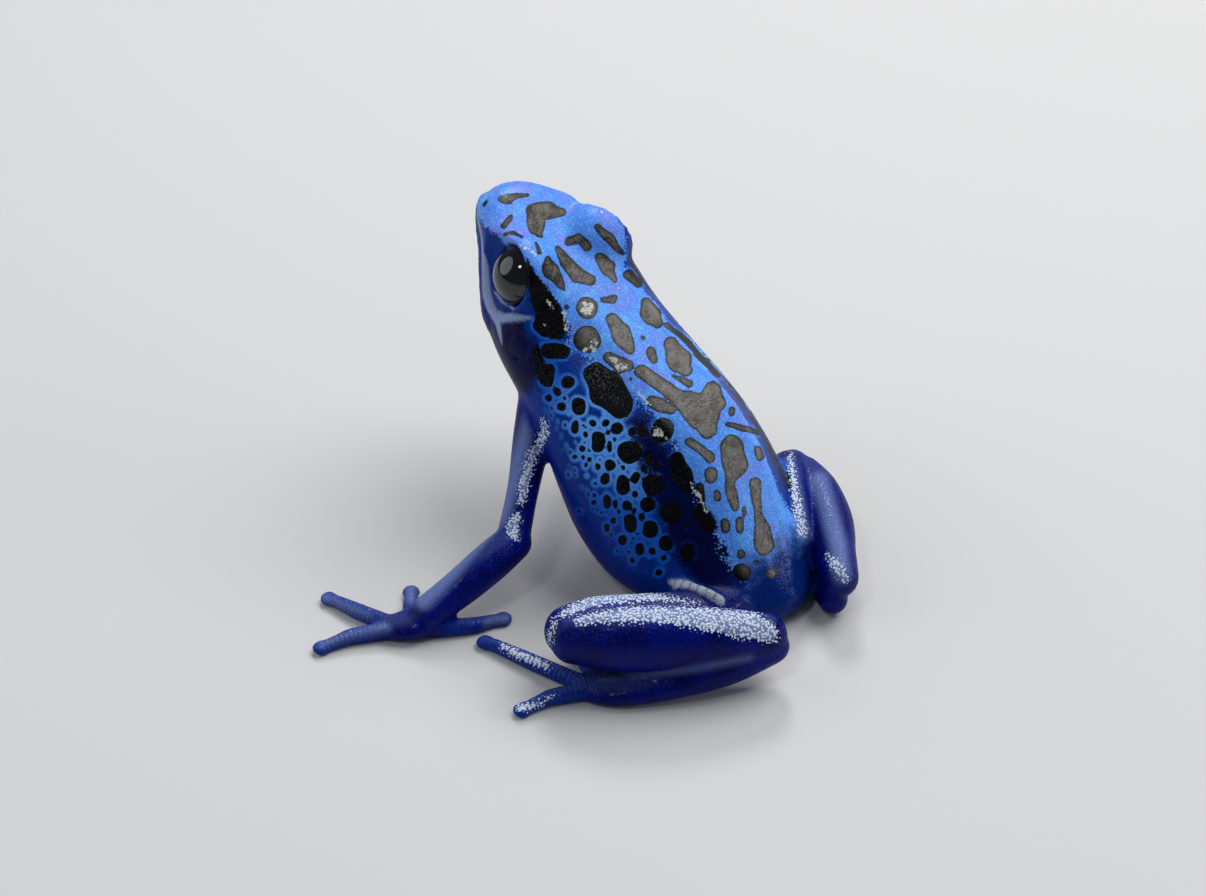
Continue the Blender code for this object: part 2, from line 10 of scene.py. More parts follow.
import bmesh
import bpy
import numpy as np
from mathutils import Matrix, Vector, noise
from mathutils.bvhtree import BVHTree
from mathutils.kdtree import KDTree


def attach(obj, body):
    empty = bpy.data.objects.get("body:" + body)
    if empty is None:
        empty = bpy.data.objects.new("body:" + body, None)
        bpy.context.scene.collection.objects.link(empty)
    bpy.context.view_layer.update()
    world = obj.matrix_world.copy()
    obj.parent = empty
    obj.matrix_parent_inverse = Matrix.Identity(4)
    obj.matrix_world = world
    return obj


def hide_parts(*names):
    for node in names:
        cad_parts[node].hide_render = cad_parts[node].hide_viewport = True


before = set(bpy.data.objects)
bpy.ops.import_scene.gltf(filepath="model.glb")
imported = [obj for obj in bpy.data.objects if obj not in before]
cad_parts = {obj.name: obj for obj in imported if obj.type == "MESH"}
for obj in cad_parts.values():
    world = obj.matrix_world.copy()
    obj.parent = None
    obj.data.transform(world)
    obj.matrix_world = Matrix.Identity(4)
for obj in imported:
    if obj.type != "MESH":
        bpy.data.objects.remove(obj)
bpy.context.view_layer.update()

MM = 0.001
UP = Vector((0.0, 0.0, 1.0))
SIDES = (1, -1)  # left, right

# ---- camera, by the photograph ----
PHOTO_WIDTH, PHOTO_HEIGHT = 1206, 896
FOCAL_PIXELS = 2044.0
PIXELS_PER_MM = 14.0  # at the frog, at most
CAMERA_PLACE = (79.5, 86.3, 101.4)  # millimetres, in the frame
CAMERA_HEADING = 43.0  # degrees
CAMERA_PITCH = 37.5  # degrees below the horizon
SENSOR = 36.0

# ---- sizes ----
# They are the solids' own, but eyes, lids, fingers and mouth are slightly larger, as the skin
# leaves no gaps.
FRAME_LEFT = 6.345  # the frog's own place of the frame's origin
FRAME_FORWARD = 14.76
VOXEL = 0.205  # of the whole skin
SKULL_VOXEL = 0.24  # of head and trunk, where lids and brows join them
SKULL_ROUNDS = 14  # rounds of smoothing there

EYE_PLACE = (3.42, 25.2, 20.0)
EYE_LOOK = (0.92, 0.27, 0.26)  # where the left eye opens
EYE_RADIUS = 2.45  # of its socket
EYE_GAP = 0.02  # between socket and eyeball
LID_REACH = 3.00  # radius of the lids' bulge
LID_OPENING = (3.80, 3.50, 1.90)  # half sizes
LID_OPENING_SHIFT = 2.60  # from the eyeball's middle
NOSTRIL = (0.30, 0.22, 0.50)
NOSTRIL_ROW, NOSTRIL_POINT = 64, 10  # row of the trunk's rings, and its point
NOSTRIL_LOOK = (0.80, 0.45, 0.35)
EAR_ROW, EAR_POINT = 43, 14
EAR_RADIUS = 0.95
EAR_GROOVE = 0.20
MOUTH_CORNER_ROW = 46
MOUTH_POINT = 18
LIP_SPREAD = 0.42  # from the mouth line to a lip's middle
LIP_SINK = 0.16  # from the skin down to it
LIP_RADIUS = 0.36
CORNER_SINK = 0.15  # how much deeper it lies at the corners of the mouth
CORNER_RISE = 0.2  # share of their spread that they gain with each row
MOUTH_RADIUS = 0.20

# Stations of trunk and head, from rump to snout: the highest and the lowest point (forward, up),
# the half width, the flat back's share of it, and how high the back's corner and the widest place
# lie, from -1 at the lowest point to 1 at the highest
TRUNK = (
    ((0.0, 2.6), (0.1, 1.2), 1.2, 0.60, 0.70, 0.00),
    ((1.3, 4.0), (1.8, -0.1), 3.6, 0.55, 0.72, -0.10),
    ((2.9, 6.1), (4.9, -0.3), 5.8, 0.50, 0.76, -0.20),
    ((4.8, 8.8), (8.4, -0.4), 7.4, 0.44, 0.80, -0.28),
    ((7.1, 11.8), (12.3, -0.1), 8.3, 0.43, 0.82, -0.30),
    ((9.9, 14.2), (15.7, 2.0), 8.5, 0.42, 0.84, -0.30),
    ((13.0, 15.6), (18.4, 5.0), 8.1, 0.43, 0.84, -0.25),
    ((16.3, 17.1), (21.0, 7.7), 7.4, 0.46, 0.82, -0.18),
    ((19.5, 18.7), (23.9, 9.7), 6.8, 0.54, 0.82, -0.14),
    ((22.3, 20.2), (26.7, 11.6), 6.4, 0.66, 0.86, -0.08),
    ((24.9, 21.6), (28.8, 13.8), 5.7, 0.78, 0.91, -0.08),
    ((27.3, 22.7), (30.2, 15.8), 4.5, 0.86, 0.95, -0.05),
    ((29.5, 23.5), (31.4, 17.8), 3.2, 0.84, 0.92, 0.00),
    ((31.2, 23.7), (32.3, 19.2), 2.35, 0.74, 0.84, 0.00),
    ((32.3, 23.2), (32.8, 20.3), 1.6, 0.62, 0.70, 0.00),
    ((32.9, 22.5), (33.1, 21.2), 0.9, 0.60, 0.66, 0.00),
)
ROW_STEPS = 5  # rows of the solids' loft between two stations
RING_STEPS = 4  # points of its ring between two of the section
LAST_ROW = (len(TRUNK) - 1) * ROW_STEPS

# The edge of the head from the snout to the eye, left side, and the limbs: each station is
# (left, forward, up, half width across, half height)
BROW = (
    (1.7, 31.4, 22.3, 0.8, 0.7),
    (2.7, 29.6, 22.0, 1.0, 0.9),
    (3.3, 27.8, 21.7, 1.15, 1.1),
    (3.5, 26.2, 21.2, 1.25, 1.1),
)
LIMBS = (
    # left thigh, shank, sole
    ((2.8, 3.4, 2.2, 2.1, 2.0), (6.4, 3.5, 2.4, 2.1, 2.1), (10.2, 4.9, 3.2, 2.0, 2.3),
     (13.6, 6.7, 4.0, 1.9, 2.1), (15.7, 7.4, 4.3, 1.6, 1.9)),
    ((16.0, 6.5, 4.3, 1.6, 1.9), (13.9, 4.2, 4.5, 2.1, 2.4), (10.8, 1.6, 4.4, 2.2, 2.5),
     (7.8, -0.7, 4.1, 1.9, 2.2), (5.6, -2.1, 3.8, 1.6, 1.8)),
    ((5.3, -2.5, 3.0, 1.3, 1.3), (8.4, -1.1, 2.1, 1.4, 1.4), (11.8, 1.0, 1.3, 1.4, 1.1),
     (14.4, 3.1, 0.9, 1.5, 0.9), (15.8, 4.5, 0.7, 1.2, 0.7)),
    # right thigh, shank, sole
    ((-2.8, 4.2, 3.8, 2.3, 2.6), (-4.4, 5.6, 4.2, 2.2, 2.7), (-6.4, 7.2, 4.3, 2.0, 2.4),
     (-8.4, 8.9, 4.2, 1.7, 2.0), (-9.5, 9.3, 4.0, 1.4, 1.7)),
    ((-9.7, 8.2, 3.9, 1.4, 1.7), (-8.7, 5.9, 4.0, 1.7, 1.9), (-6.8, 3.0, 3.9, 1.8, 2.0),
     (-4.7, 0.6, 3.7, 1.6, 1.8), (-3.3, -1.2, 3.4, 1.4, 1.6)),
    ((-3.0, -1.0, 1.4, 1.1, 1.2), (-4.6, 1.8, 0.9, 1.3, 0.9), (-6.3, 4.9, 0.9, 1.3, 0.9),
     (-7.7, 7.5, 0.8, 1.4, 0.8), (-8.5, 9.0, 0.7, 1.1, 0.7)),
    # left upper arm, forearm, palm
    ((4.8, 21.8, 11.0, 2.0, 2.3), (6.9, 20.8, 9.2, 1.5, 1.6), (9.6, 18.9, 6.9, 1.2, 1.2),
     (12.2, 17.1, 4.8, 1.25, 1.3)),
    ((12.4, 16.9, 4.6, 1.4, 1.4), (14.6, 16.9, 4.0, 1.5, 1.5), (17.4, 17.2, 2.9, 1.4, 1.4),
     (19.9, 17.8, 1.8, 1.4, 1.05)),
    ((19.6, 17.8, 1.6, 1.3, 0.95), (20.9, 18.3, 1.0, 1.5, 0.9), (22.1, 19.1, 0.8, 1.2, 0.7)),
    # right upper arm, forearm, palm
    ((-4.8, 21.8, 11.0, 2.0, 2.3), (-6.4, 20.4, 9.0, 1.5, 1.6), (-7.8, 18.2, 6.4, 1.2, 1.2),
     (-9.1, 16.4, 4.2, 1.25, 1.3)),
    ((-9.2, 16.3, 4.0, 1.4, 1.4), (-9.6, 18.6, 3.6, 1.6, 1.6), (-10.0, 21.4, 2.6, 1.45, 1.45),
     (-10.4, 24.0, 1.6, 1.15, 1.0)),
    ((-10.4, 23.8, 1.6, 1.1, 0.9), (-10.5, 25.4, 1.0, 1.5, 0.9), (-10.5, 26.8, 0.8, 1.2, 0.7)),
)
# Toes and fingers: root, a bend and the tip, each (left, forward)
DIGITS = (
    ((13.9, 3.9), (12.4, 5.4), (11.0, 6.4)), ((14.6, 4.3), (12.6, 6.6), (10.6, 8.6)),
    ((15.2, 4.6), (13.8, 8.2), (11.9, 11.6)), ((15.8, 4.9), (17.0, 9.6), (18.0, 13.7)),
    ((15.6, 4.4), (18.2, 6.0), (20.6, 6.7)), ((-7.4, 8.4), (-6.2, 9.4), (-5.2, 10.0)),
    ((-7.9, 8.9), (-6.8, 10.9), (-6.0, 12.6)), ((-8.3, 9.2), (-7.9, 12.1), (-7.2, 14.9)),
    ((-8.8, 9.4), (-9.4, 13.4), (-9.4, 17.2)), ((-9.0, 9.0), (-10.4, 11.2), (-11.4, 13.0)),
    ((20.2, 17.2), (17.6, 15.5), (15.4, 14.7)), ((20.4, 19.2), (19.5, 20.4), (18.5, 21.6)),
    ((21.9, 19.3), (22.8, 22.4), (23.4, 25.2)), ((22.1, 18.9), (24.6, 20.5), (27.0, 21.3)),
    ((-9.6, 25.6), (-7.8, 27.0), (-6.4, 28.6)), ((-10.1, 26.4), (-9.3, 28.8), (-8.8, 30.8)),
    ((-10.8, 26.6), (-11.4, 29.8), (-11.8, 32.6)), ((-11.3, 26.0), (-13.0, 28.2), (-14.3, 29.9)),
)
DIGIT_RADIUS = 0.62
ROOT_HEIGHT = 0.70  # half a digit's height where it leaves the palm or sole
NECK_SHARE = 0.85  # of its radius, before the disc
NECK_LENGTH = 1.3
DISC_RADIUS = 0.72
DISC_HEIGHT = 0.42
CREASE_STEP = 0.36  # between the rings round a finger
FOLD_STEP = 0.62  # between the ribs of the fold on the thigh

# ---- markings ----
# Chains of round marks (across, down, half width), in pixels of the photograph; black ones first
HEAD_MARKS = (
    ((502, 200, 4), (508, 199, 5), (516, 196, 3), (527, 195, 2)),
    ((503, 226, 3), (507, 221, 3), (511, 217, 3)), ((505, 234, 2), (513, 232, 2), (522, 236, 1.5)),
    ((533, 211, 8), (548, 211, 9), (561, 213, 5)), ((536, 216, 10), (536, 227, 9), (539, 235, 4)),
    ((536, 243, 2), (539, 252, 2.5)), ((530, 270, 4.5),),
    ((548, 258, 3), (551, 271, 9), (560, 284, 4), (564, 290, 1.5)),
    ((558, 249, 4), (566, 262, 7), (577, 275, 8), (589, 280, 6)),
    ((569, 241, 5), (578, 239, 5), (587, 246, 5)), ((601, 259, 6), (608, 269, 8), (614, 278, 4)),
    ((598, 227, 4), (610, 240, 5), (622, 253, 3.5)), ((629, 274, 5), (638, 283, 5)),
    ((602, 299, 3), (613, 299, 4)), ((567, 307, 2.5),), ((587, 308, 11),), ((587, 340, 14),),
    ((612, 319, 6), (621, 333, 11), (630, 349, 6)), ((646, 303, 6), (651, 314, 11), (658, 323, 6)),
    ((609, 357, 6), (620, 365, 8), (629, 366, 5)), ((651, 352, 5), (655, 360, 4)), ((644, 338, 3),),
    ((631, 380, 2),), ((670, 344, 8), (679, 360, 13), (686, 370, 7)),
    ((667, 325, 3), (690, 343, 3)), ((696, 353, 4), (717, 374, 4)),
    ((672, 376, 1.5), (690, 384, 4)), ((730, 385, 2.5),),
)
BACK_MARKS = (
    ((642, 372, 8), (672, 393, 7), (702, 413, 19), (707, 430, 10)),
    ((704, 405, 9), (712, 390, 9), (718, 403, 9)), ((732, 410, 3), (732, 414, 3)),
    ((728, 425, 3), (757, 432, 3)),
    ((732, 447, 12), (735, 464, 13), (730, 482, 5), (732, 498, 6), (735, 506, 5)),
    ((758, 449, 4), (760, 457, 4)),
    ((755, 484, 7), (756, 495, 6), (758, 512, 4), (762, 530, 9), (764, 545, 10)),
    ((690, 442, 5), (710, 457, 5)), ((711, 472, 6.5), (711, 478, 6.5)),
    ((717, 494, 4), (717, 498, 4)), ((700, 486, 4.5), (700, 494, 4.5)),
    ((725, 522, 4.5), (725, 529, 4.5)), ((739, 521, 4.5), (739, 529, 4.5)),
    ((745, 509, 2.5), (745, 515, 2.5)), ((741, 554, 4.5),), ((742, 572, 9),), ((756, 562, 3),),
    ((772, 573, 6),),
)
RIDGE_MARKS = (
    ((651, 401, 6), (661, 405, 8), (671, 410, 5)), ((662, 430, 12),),
    ((677, 460, 8), (682, 474, 11), (688, 486, 7)), ((699, 493, 5), (702, 502, 3)),
    ((701, 513, 8), (708, 525, 8)),
)
FLANK_DOTS = (
    (568, 382, 7), (557, 391, 4.5), (548, 398, 3.5), (561, 406, 5), (593, 423, 4), (605, 423, 4),
    (617, 429, 6.5), (632, 432, 4.5), (643, 431, 5), (585, 435, 3), (608, 433, 3),
    (630, 452, 12), (582, 449, 3.5), (575, 457, 2.5), (589, 460, 3), (585, 465, 2.5),
    (597, 467, 3), (610, 466, 6), (623, 468, 3), (657, 465, 4), (644, 468, 4), (595, 483, 2.5),
    (653, 485, 11), (635, 494, 3.5), (595, 502, 2.5), (627, 505, 5), (648, 504, 8),
    (619, 512, 2.5), (634, 510, 3), (672, 513, 11), (638, 533, 2), (634, 538, 2),
    (666, 543, 7.5), (663, 558, 3.5), (633, 561, 3), (659, 572, 3.5), (702, 543, 3),
    (687, 525, 3), (629, 552, 2), (617, 552, 2), (569, 475, 2), (579, 511, 2), (601, 512, 2),
)
FLANK_MARKS = tuple((dot,) for dot in FLANK_DOTS) + (
    ((595, 374, 12), (607, 389, 19), (620, 405, 14)), ((539, 324, 6), (547, 330, 7)),
    ((549, 351, 8), (562, 351, 8)), ((547, 372, 8.5), (547, 379, 8.5)),
    ((579, 405, 7.5), (579, 409, 7.5)), ((575, 424, 3.5), (575, 430, 3.5)),
    ((598, 438, 7), (598, 446, 7)), ((610, 444, 3), (610, 450, 3)),
    ((649, 455, 4.5), (649, 459, 4.5)), ((637, 475, 4), (635, 480, 4)),
    ((605, 477, 4.5), (605, 481, 4.5)), ((623, 483, 7.5), (623, 488, 7.5)),
    ((607, 499, 4), (607, 505, 4)), ((615, 502, 2.5), (615, 506, 2.5)),
    ((642, 516, 3.5), (642, 518, 3.5)), ((613, 520, 3), (613, 522, 3)),
    ((607, 527, 3), (607, 530, 3)), ((630, 520, 6), (630, 526, 6)),
    ((650, 529, 8), (650, 531, 8)), ((623, 539, 4.5), (623, 541, 4.5)),
    ((640, 547, 4.5), (640, 551, 4.5)), ((652, 550, 3.5), (652, 552, 3.5)),
    ((688, 550, 7), (688, 554, 7)),
)

# Near-black skin behind the eye; deep navy, a painted shade, beside the ridge, on the rump and
# below the eye; the lightest part of the flank's net of lines; and the pale edge of the lower lid,
# a painted highlight.
FACE_BLACK = (
    ((527, 258, 2), (531, 278, 6), (541, 298, 12), (549, 315, 15), (556, 330, 11)),
    ((537, 352, 6), (541, 375, 6)),
)
NAVY_SHADE_MARKS = (
    ((640, 425, 10), (665, 478, 20), (700, 540, 30), (735, 590, 26)),
    ((742, 596, 14), (760, 600, 14), (780, 598, 10)), ((508, 330, 16), (520, 372, 20)),
)
NET = (
    ((592, 415, 18), (603, 445, 20), (632, 462, 14)),
)
LID_EDGE = (
    ((496, 293, 0.8), (503, 303, 1.0), (514, 308, 0.8)),
)
# The part of the flank that is full of small dots
BUSY = (
    ((562, 398, 14), (588, 425, 24), (608, 470, 28), (626, 515, 26), (645, 545, 20)),
)
# Painted highlights: the glints of wet granules
GLINT = (
    ((587, 308, 9),), ((595, 342, 5), (593, 349, 5), (583, 351, 4)),
    ((611, 358, 4), (622, 367, 7), (627, 370, 3)), ((657, 432, 7), (664, 437, 3)),
    ((667, 439, 2), (684, 454, 2)), ((631, 386, 3), (641, 397, 4), (650, 404, 3)),
    ((596, 208, 2), (603, 212, 3)), ((522, 246, 3), (529, 250, 4), (536, 255, 3)),
    ((563, 312, 3), (566, 322, 4), (567, 334, 3)), ((548, 300, 3), (552, 308, 3)), ((545, 325, 4),),
    ((691, 484, 3), (700, 497, 4), (706, 512, 3)), ((618, 288, 3),), ((735, 454, 2),),
)
# Where the bright back ends, from the snout over the eye and along the ridge to the rump
RIDGE_LINE = (
    (478, 218), (502, 240), (542, 283), (557, 302), (568, 325), (573, 350), (590, 365), (625, 388),
    (641, 405), (665, 430), (690, 480), (715, 530), (740, 580), (775, 606),
)
# A painted sheen, pale along the upper lip: rows and points of the solids' rings, half width
STRIPE = (
    (66, 15.2, 0.20), (60, 15.1, 0.30), (57, 15.1, 0.38), (54, 15.8, 0.42), (52, 16.0, 0.44),
    (50, 15.7, 0.46), (48, 15.0, 0.44), (47, 14.9, 0.40), (46, 15.4, 0.26), (45, 16.0, 0.08),
)
# Its branch behind the eye
STRIPE_FORK = (
    (48, 14.6, 0.44), (47, 13.9, 0.42), (46, 12.7, 0.34), (45, 11.6, 0.24), (44, 10.4, 0.08),
)
# The dark line between the lips
MOUTH_HALF_WIDTH = 0.15
MOUTH = tuple(
    (row, MOUTH_POINT, MOUTH_HALF_WIDTH) for row in range(MOUTH_CORNER_ROW, LAST_ROW + 1)
)
# A fold of skin over the left thigh, in stations like a limb's
FOLD = (
    (6.80, 6.0, 4.05, 0.22, 0.22), (6.58, 5.3, 4.40, 0.36, 0.36), (6.36, 4.5, 4.60, 0.38, 0.38),
    (6.12, 3.6, 4.68, 0.38, 0.38), (5.80, 2.9, 4.58, 0.34, 0.34), (5.48, 2.4, 4.30, 0.22, 0.22),
)
# Painted highlights on the limbs: pale granules, and a smooth pale sheen on their sides
HIGHLIGHT_MARKS = (
    ((562, 614, 4), (574, 609, 6), (590, 602, 7), (606, 598, 7), (645, 596, 6), (664, 598, 4),
     (700, 604, 2)),
    ((579, 622, 5), (600, 617, 7), (630, 614, 9), (671, 615, 10), (700, 618, 12), (730, 622, 14),
     (752, 626, 15), (770, 634, 10)), ((555, 620, 3), (551, 632, 3), (550, 644, 2)),
    ((544, 421, 3), (545, 431, 4), (539, 444, 5), (533, 454, 6), (528, 469, 6), (524, 487, 6),
     (521, 502, 4)), ((517, 518, 6), (512, 528, 7), (515, 538, 4)),
    ((503, 647, 4), (525, 657, 5), (546, 666, 5)), ((521, 708, 5), (535, 705, 4), (556, 695, 2)),
    ((829, 557, 4), (836, 566, 6), (845, 579, 5)),
    ((790, 455, 3), (793, 480, 4), (798, 508, 5), (803, 532, 5.5)),
)
SHEEN_MARKS = (
    ((533, 413, 8), (524, 440, 8), (517, 464, 8), (510, 490, 8), (502, 514, 8), (490, 531, 8),
     (474, 549, 8), (455, 568, 8), (438, 586, 9), (424, 600, 9)),
    ((326, 598, 5), (344, 606, 4), (368, 616, 3)), ((322, 644, 4), (350, 635, 4), (385, 627, 5)),
    ((411, 590, 6), (411, 600, 4)), ((505, 618, 5), (488, 622, 4)),
    ((600, 680, 1), (650, 675, 1), (700, 668, 1), (750, 658, 1)),
    ((788, 465, 7), (795, 500, 8), (801, 535, 8)),
    ((819, 480, 9), (828, 510, 9), (838, 545, 9), (842, 575, 9)),
)
CLEAR = 3.0  # millimetres from a mark, where nothing of it shows
LEAN_LIMIT = 0.4  # a mark stretches no further on skin that turns away
DEPTH_SLACK = 0.4  # how far in depth marks reach, as a share of their fade
NOISE_SEED = 7  # of the field that makes the markings' edges uneven
EDGE_WARP = (1.1, 0.14, 3.0)  # that field's size, its amount and its place
SIDE_WARP = (4.0, 1.3, 17.0)  # the same, for the spots of the right side
RIDGE_FADE = (-2.6, -0.6)  # points beside the ridge where the flank's marks end
CHEST_HEIGHT, NECK_ROW = 14.0, 38  # above and before these nothing is a limb
SNOUT_ROW, SNOUT_ROUNDS = 66, 80  # rows close up here, so the ridge is smoothed in rounds


# ---- plain geometry ----
def at(left, forward, up):
    """The frog's own millimetres as a point of the frame, in metres."""
    return Vector((left - FRAME_LEFT, FRAME_FORWARD - forward, up)) * MM


def catmull(p0, p1, p2, p3, t):
    """A value between p1 and p2 on the smooth curve through four numbers."""
    return 0.5 * (
        2.0 * p1
        + (p2 - p0) * t
        + (2.0 * p0 - 5.0 * p1 + 4.0 * p2 - p3) * t * t
        + (3.0 * p1 - p0 - 3.0 * p2 + p3) * t ** 3
    )


def smooth_rows(rows, steps, closed=False):
    """Rows of numbers, resampled on a smooth curve with so many steps between two."""
    padded = [rows[-1], *rows, rows[0], rows[1]] if closed else [rows[0], *rows, rows[-1]]
    result = []
    for four in zip(padded, padded[1:], padded[2:], padded[3:]):
        for step in range(steps):
            result.append([catmull(*values, step / steps) for values in zip(*four)])
    return result if closed else result + [list(rows[-1])]


def new_object(name, data):
    obj = bpy.data.objects.new(name, data)
    bpy.context.scene.collection.objects.link(obj)
    return obj


def mesh_object(name, bm):
    mesh = bpy.data.meshes.new(name)
    bm.to_mesh(mesh)
    bm.free()
    return new_object(name, mesh)


def turns(count):
    """The angles of so many steps round a circle."""
    return [2.0 * math.pi * k / count for k in range(count)]


def skin_rings(name, rings, closed=False):
    """A closed mesh object from rings of points, its ends joined or each shut by a fan."""
    bm = bmesh.new()
    loops = [[bm.verts.new(point) for point in ring] for ring in rings]
    ends = [] if closed else [loops[0], loops[-1]]
    if closed:
        loops.append(loops[0])
    for first, second in zip(loops, loops[1:]):
        for i in range(len(first)):
            j = (i + 1) % len(first)
            bm.faces.new((first[i], first[j], second[j], second[i]))
    for loop in ends:
        middle = bm.verts.new(sum((v.co for v in loop), Vector()) / len(loop))
        for i in range(len(loop)):
            bm.faces.new((loop[i], loop[(i + 1) % len(loop)], middle))
    bmesh.ops.recalc_face_normals(bm, faces=bm.faces)
    return mesh_object(name, bm)


def ball(name, place, radii, turn=None, segments=64):
    """An ellipsoid at a place of the frog, its axes turned."""
    bm = bmesh.new()
    bmesh.ops.create_uvsphere(bm, u_segments=segments, v_segments=segments // 2, radius=1.0)
    scale = Matrix.Diagonal((radii[0] * MM, radii[1] * MM, radii[2] * MM, 1.0))
    turned = turn.to_4x4() if turn else Matrix.Identity(4)
    bmesh.ops.transform(bm, matrix=Matrix.Translation(at(*place)) @ turned @ scale, verts=bm.verts)
    return mesh_object(name, bm)


def tube(name, stations, sides=32, steps=12, cap_rings=8):
    """A limb of oval section through its stations, with round ends."""
    rows = smooth_rows(stations, steps)
    centres = [at(*row[:3]) for row in rows]
    last = len(rows) - 1
    caps = [0.5 * math.pi * k / (cap_rings + 0.5) for k in range(1, cap_rings + 1)]
    rings = []
    for i, row in enumerate(rows):
        centre = centres[i]
        ahead = (centres[min(i + 1, last)] - centres[max(i - 1, 0)]).normalized()
        across = ahead.cross(UP).normalized()
        upward = across.cross(ahead)
        width, height = row[3] * MM, row[4] * MM
        reach = min(width, height)
        ovals = [(centre, 1.0)]
        if i == 0:
            ends = [(centre - ahead * (math.sin(a) * reach), math.cos(a)) for a in caps]
            ovals = ends[::-1] + ovals
        if i == last:
            ovals += [(centre + ahead * (math.sin(a) * reach), math.cos(a)) for a in caps]
        for middle, share in ovals:
            rings.append([
                middle
                + across * (math.cos(turn) * width * share)
                + upward * (math.sin(turn) * height * share)
                for turn in turns(sides)
            ])
    return skin_rings(name, rings)


def digit(root, bend, tip):
    """A finger or toe that lies on the floor and ends in a flat round disc."""
    thick = DIGIT_RADIUS
    neck = Vector(tip) - (Vector(tip) - Vector(bend)).normalized() * NECK_LENGTH
    slim = thick * NECK_SHARE
    flat = DISC_HEIGHT * 0.9
    stations = (
        (*root, ROOT_HEIGHT, thick, ROOT_HEIGHT),
        (*bend, thick * 0.95, thick, thick),
        (neck.x, neck.y, slim, slim, slim),
        (*tip, flat, slim, DISC_HEIGHT),
    )
    radii = (DISC_RADIUS, DISC_RADIUS, DISC_HEIGHT)
    return [
        tube("digit", stations, sides=20, steps=10, cap_rings=4),
        ball("disc", (*tip, flat), radii, segments=32),
    ]


def section(station_row, around):
    """A ring of head or trunk, with so many points between two of its outline."""
    top_f, top_u, low_f, low_u, half, flat, corner, wide = station_row
    ridge = half * flat
    outline = (
        (0.0, 1.00),
        (ridge * 0.62, 0.98),
        (ridge, corner),
        ((ridge + half) * 0.55, 0.5 * (corner + wide) + 0.10),
        (half, wide),
        (half * 0.88, wide * 0.5 - 0.56),
        (half * 0.50, -0.95),
    )
    mirrored = tuple((-x, v) for x, v in reversed(outline[1:]))
    loop = smooth_rows(outline + ((0.0, -1.0),) + mirrored, around, closed=True)
    middle_f, middle_u = 0.5 * (top_f + low_f), 0.5 * (top_u + low_u)
    rise_f, rise_u = 0.5 * (top_f - low_f), 0.5 * (top_u - low_u)
    return [at(x, middle_f + rise_f * v, middle_u + rise_u * v) for x, v in loop]


def trunk_rings(finer=1):
    """The rings of head and trunk, so many times finer than the solids' own."""
    rows = [(*top, *low, *rest) for top, low, *rest in TRUNK]
    return [section(row, RING_STEPS * finer) for row in smooth_rows(rows, ROW_STEPS * finer)]


# ---- joining and cutting ----
def bake(obj):
    """Replaces an object's mesh by what its modifiers make of it."""
    graph = bpy.context.evaluated_depsgraph_get()
    mesh = bpy.data.meshes.new_from_object(obj.evaluated_get(graph))
    obj.modifiers.clear()
    old = obj.data
    obj.data = mesh
    bpy.data.meshes.remove(old)
    return obj


def discard(obj):
    """Removes a mesh, which takes its object with it."""
    bpy.data.meshes.remove(obj.data)


def fuse(name, pieces, voxel, rounds):
    """One smooth closed body from overlapping pieces."""
    bm = bmesh.new()
    for piece in pieces:
        bm.from_mesh(piece.data)
        discard(piece)
    body = mesh_object(name, bm)
    remesh = body.modifiers.new("fuse", "REMESH")
    remesh.mode = "VOXEL"
    remesh.voxel_size = voxel * MM
    smooth = body.modifiers.new("soften", "SMOOTH")
    smooth.factor = 0.5
    smooth.iterations = rounds
    return bake(body)


def cut(obj, cutter):
    boolean = obj.modifiers.new("cut", "BOOLEAN")
    boolean.object = cutter
    boolean.operation = "DIFFERENCE"
    boolean.solver = "MANIFOLD"
    return bake(obj)


# ---- head ----
def on_side(place, side):
    """A place of the left half, or its mirror image for side -1."""
    return (place[0] * side, place[1], place[2])


def pointing(look, side):
    """The turn that lays local Z along a look direction, local X staying level."""
    direction = Vector((look[0] * side, -look[1], look[2])).normalized()
    across = UP.cross(direction).normalized()
    return Matrix((across, direction.cross(across), direction)).transposed()


def along(place, look, side, distance):
    """A place moved along a look direction."""
    step = Vector(look).normalized() * distance
    return on_side((place[0] + step.x, place[1] + step.y, place[2] + step.z), side)


def mirror(point):
    """A point of the frame on the frog's other side."""
    return Vector((-2.0 * FRAME_LEFT * MM - point.x, point.y, point.z))


def mouth_line(drop, sink):
    """Points of a line round the jaws, from corner to corner: so far below the mouth, so deep."""
    left_half = []
    for ring in trunk_rings()[MOUTH_CORNER_ROW:]:
        edge = ring[MOUTH_POINT]
        downward = (ring[MOUTH_POINT + 1] - ring[MOUTH_POINT - 1]).normalized()
        middle = sum(ring, Vector()) / len(ring)
        inward = (middle - edge).normalized()
        spread = min(1.0, CORNER_RISE * (1 + len(left_half)))
        depth = sink + CORNER_SINK * (1.0 - spread)
        left_half.append(edge + (downward * drop * spread + inward * depth) * MM)
    return left_half + [mirror(p) for p in reversed(left_half)]


def skin_point(row, point, side):
    """A point of head or trunk on one side."""
    place = trunk_rings()[row][point]
    return place if side > 0 else mirror(place)


def bead(name, points, radius, sides=16, tip=0.3, growth=0.09):
    """A round cord through points of the frame, with thin tips."""
    rows = [Vector(row) for row in smooth_rows([tuple(p) for p in points], 3)]
    rings = []
    last = len(rows) - 1
    for i, point in enumerate(rows):
        direction = (rows[min(i + 1, last)] - rows[max(i - 1, 0)]).normalized()
        across = direction.cross(UP).normalized()
        upward = across.cross(direction)
        share = min(1.0, tip + growth * min(i, last - i))
        ring = []
        for angle in turns(sides):
            offset = across * math.cos(angle) + upward * math.sin(angle)
            ring.append(point + offset * (radius * share * MM))
        rings.append(ring)
    return skin_rings(name, rings)


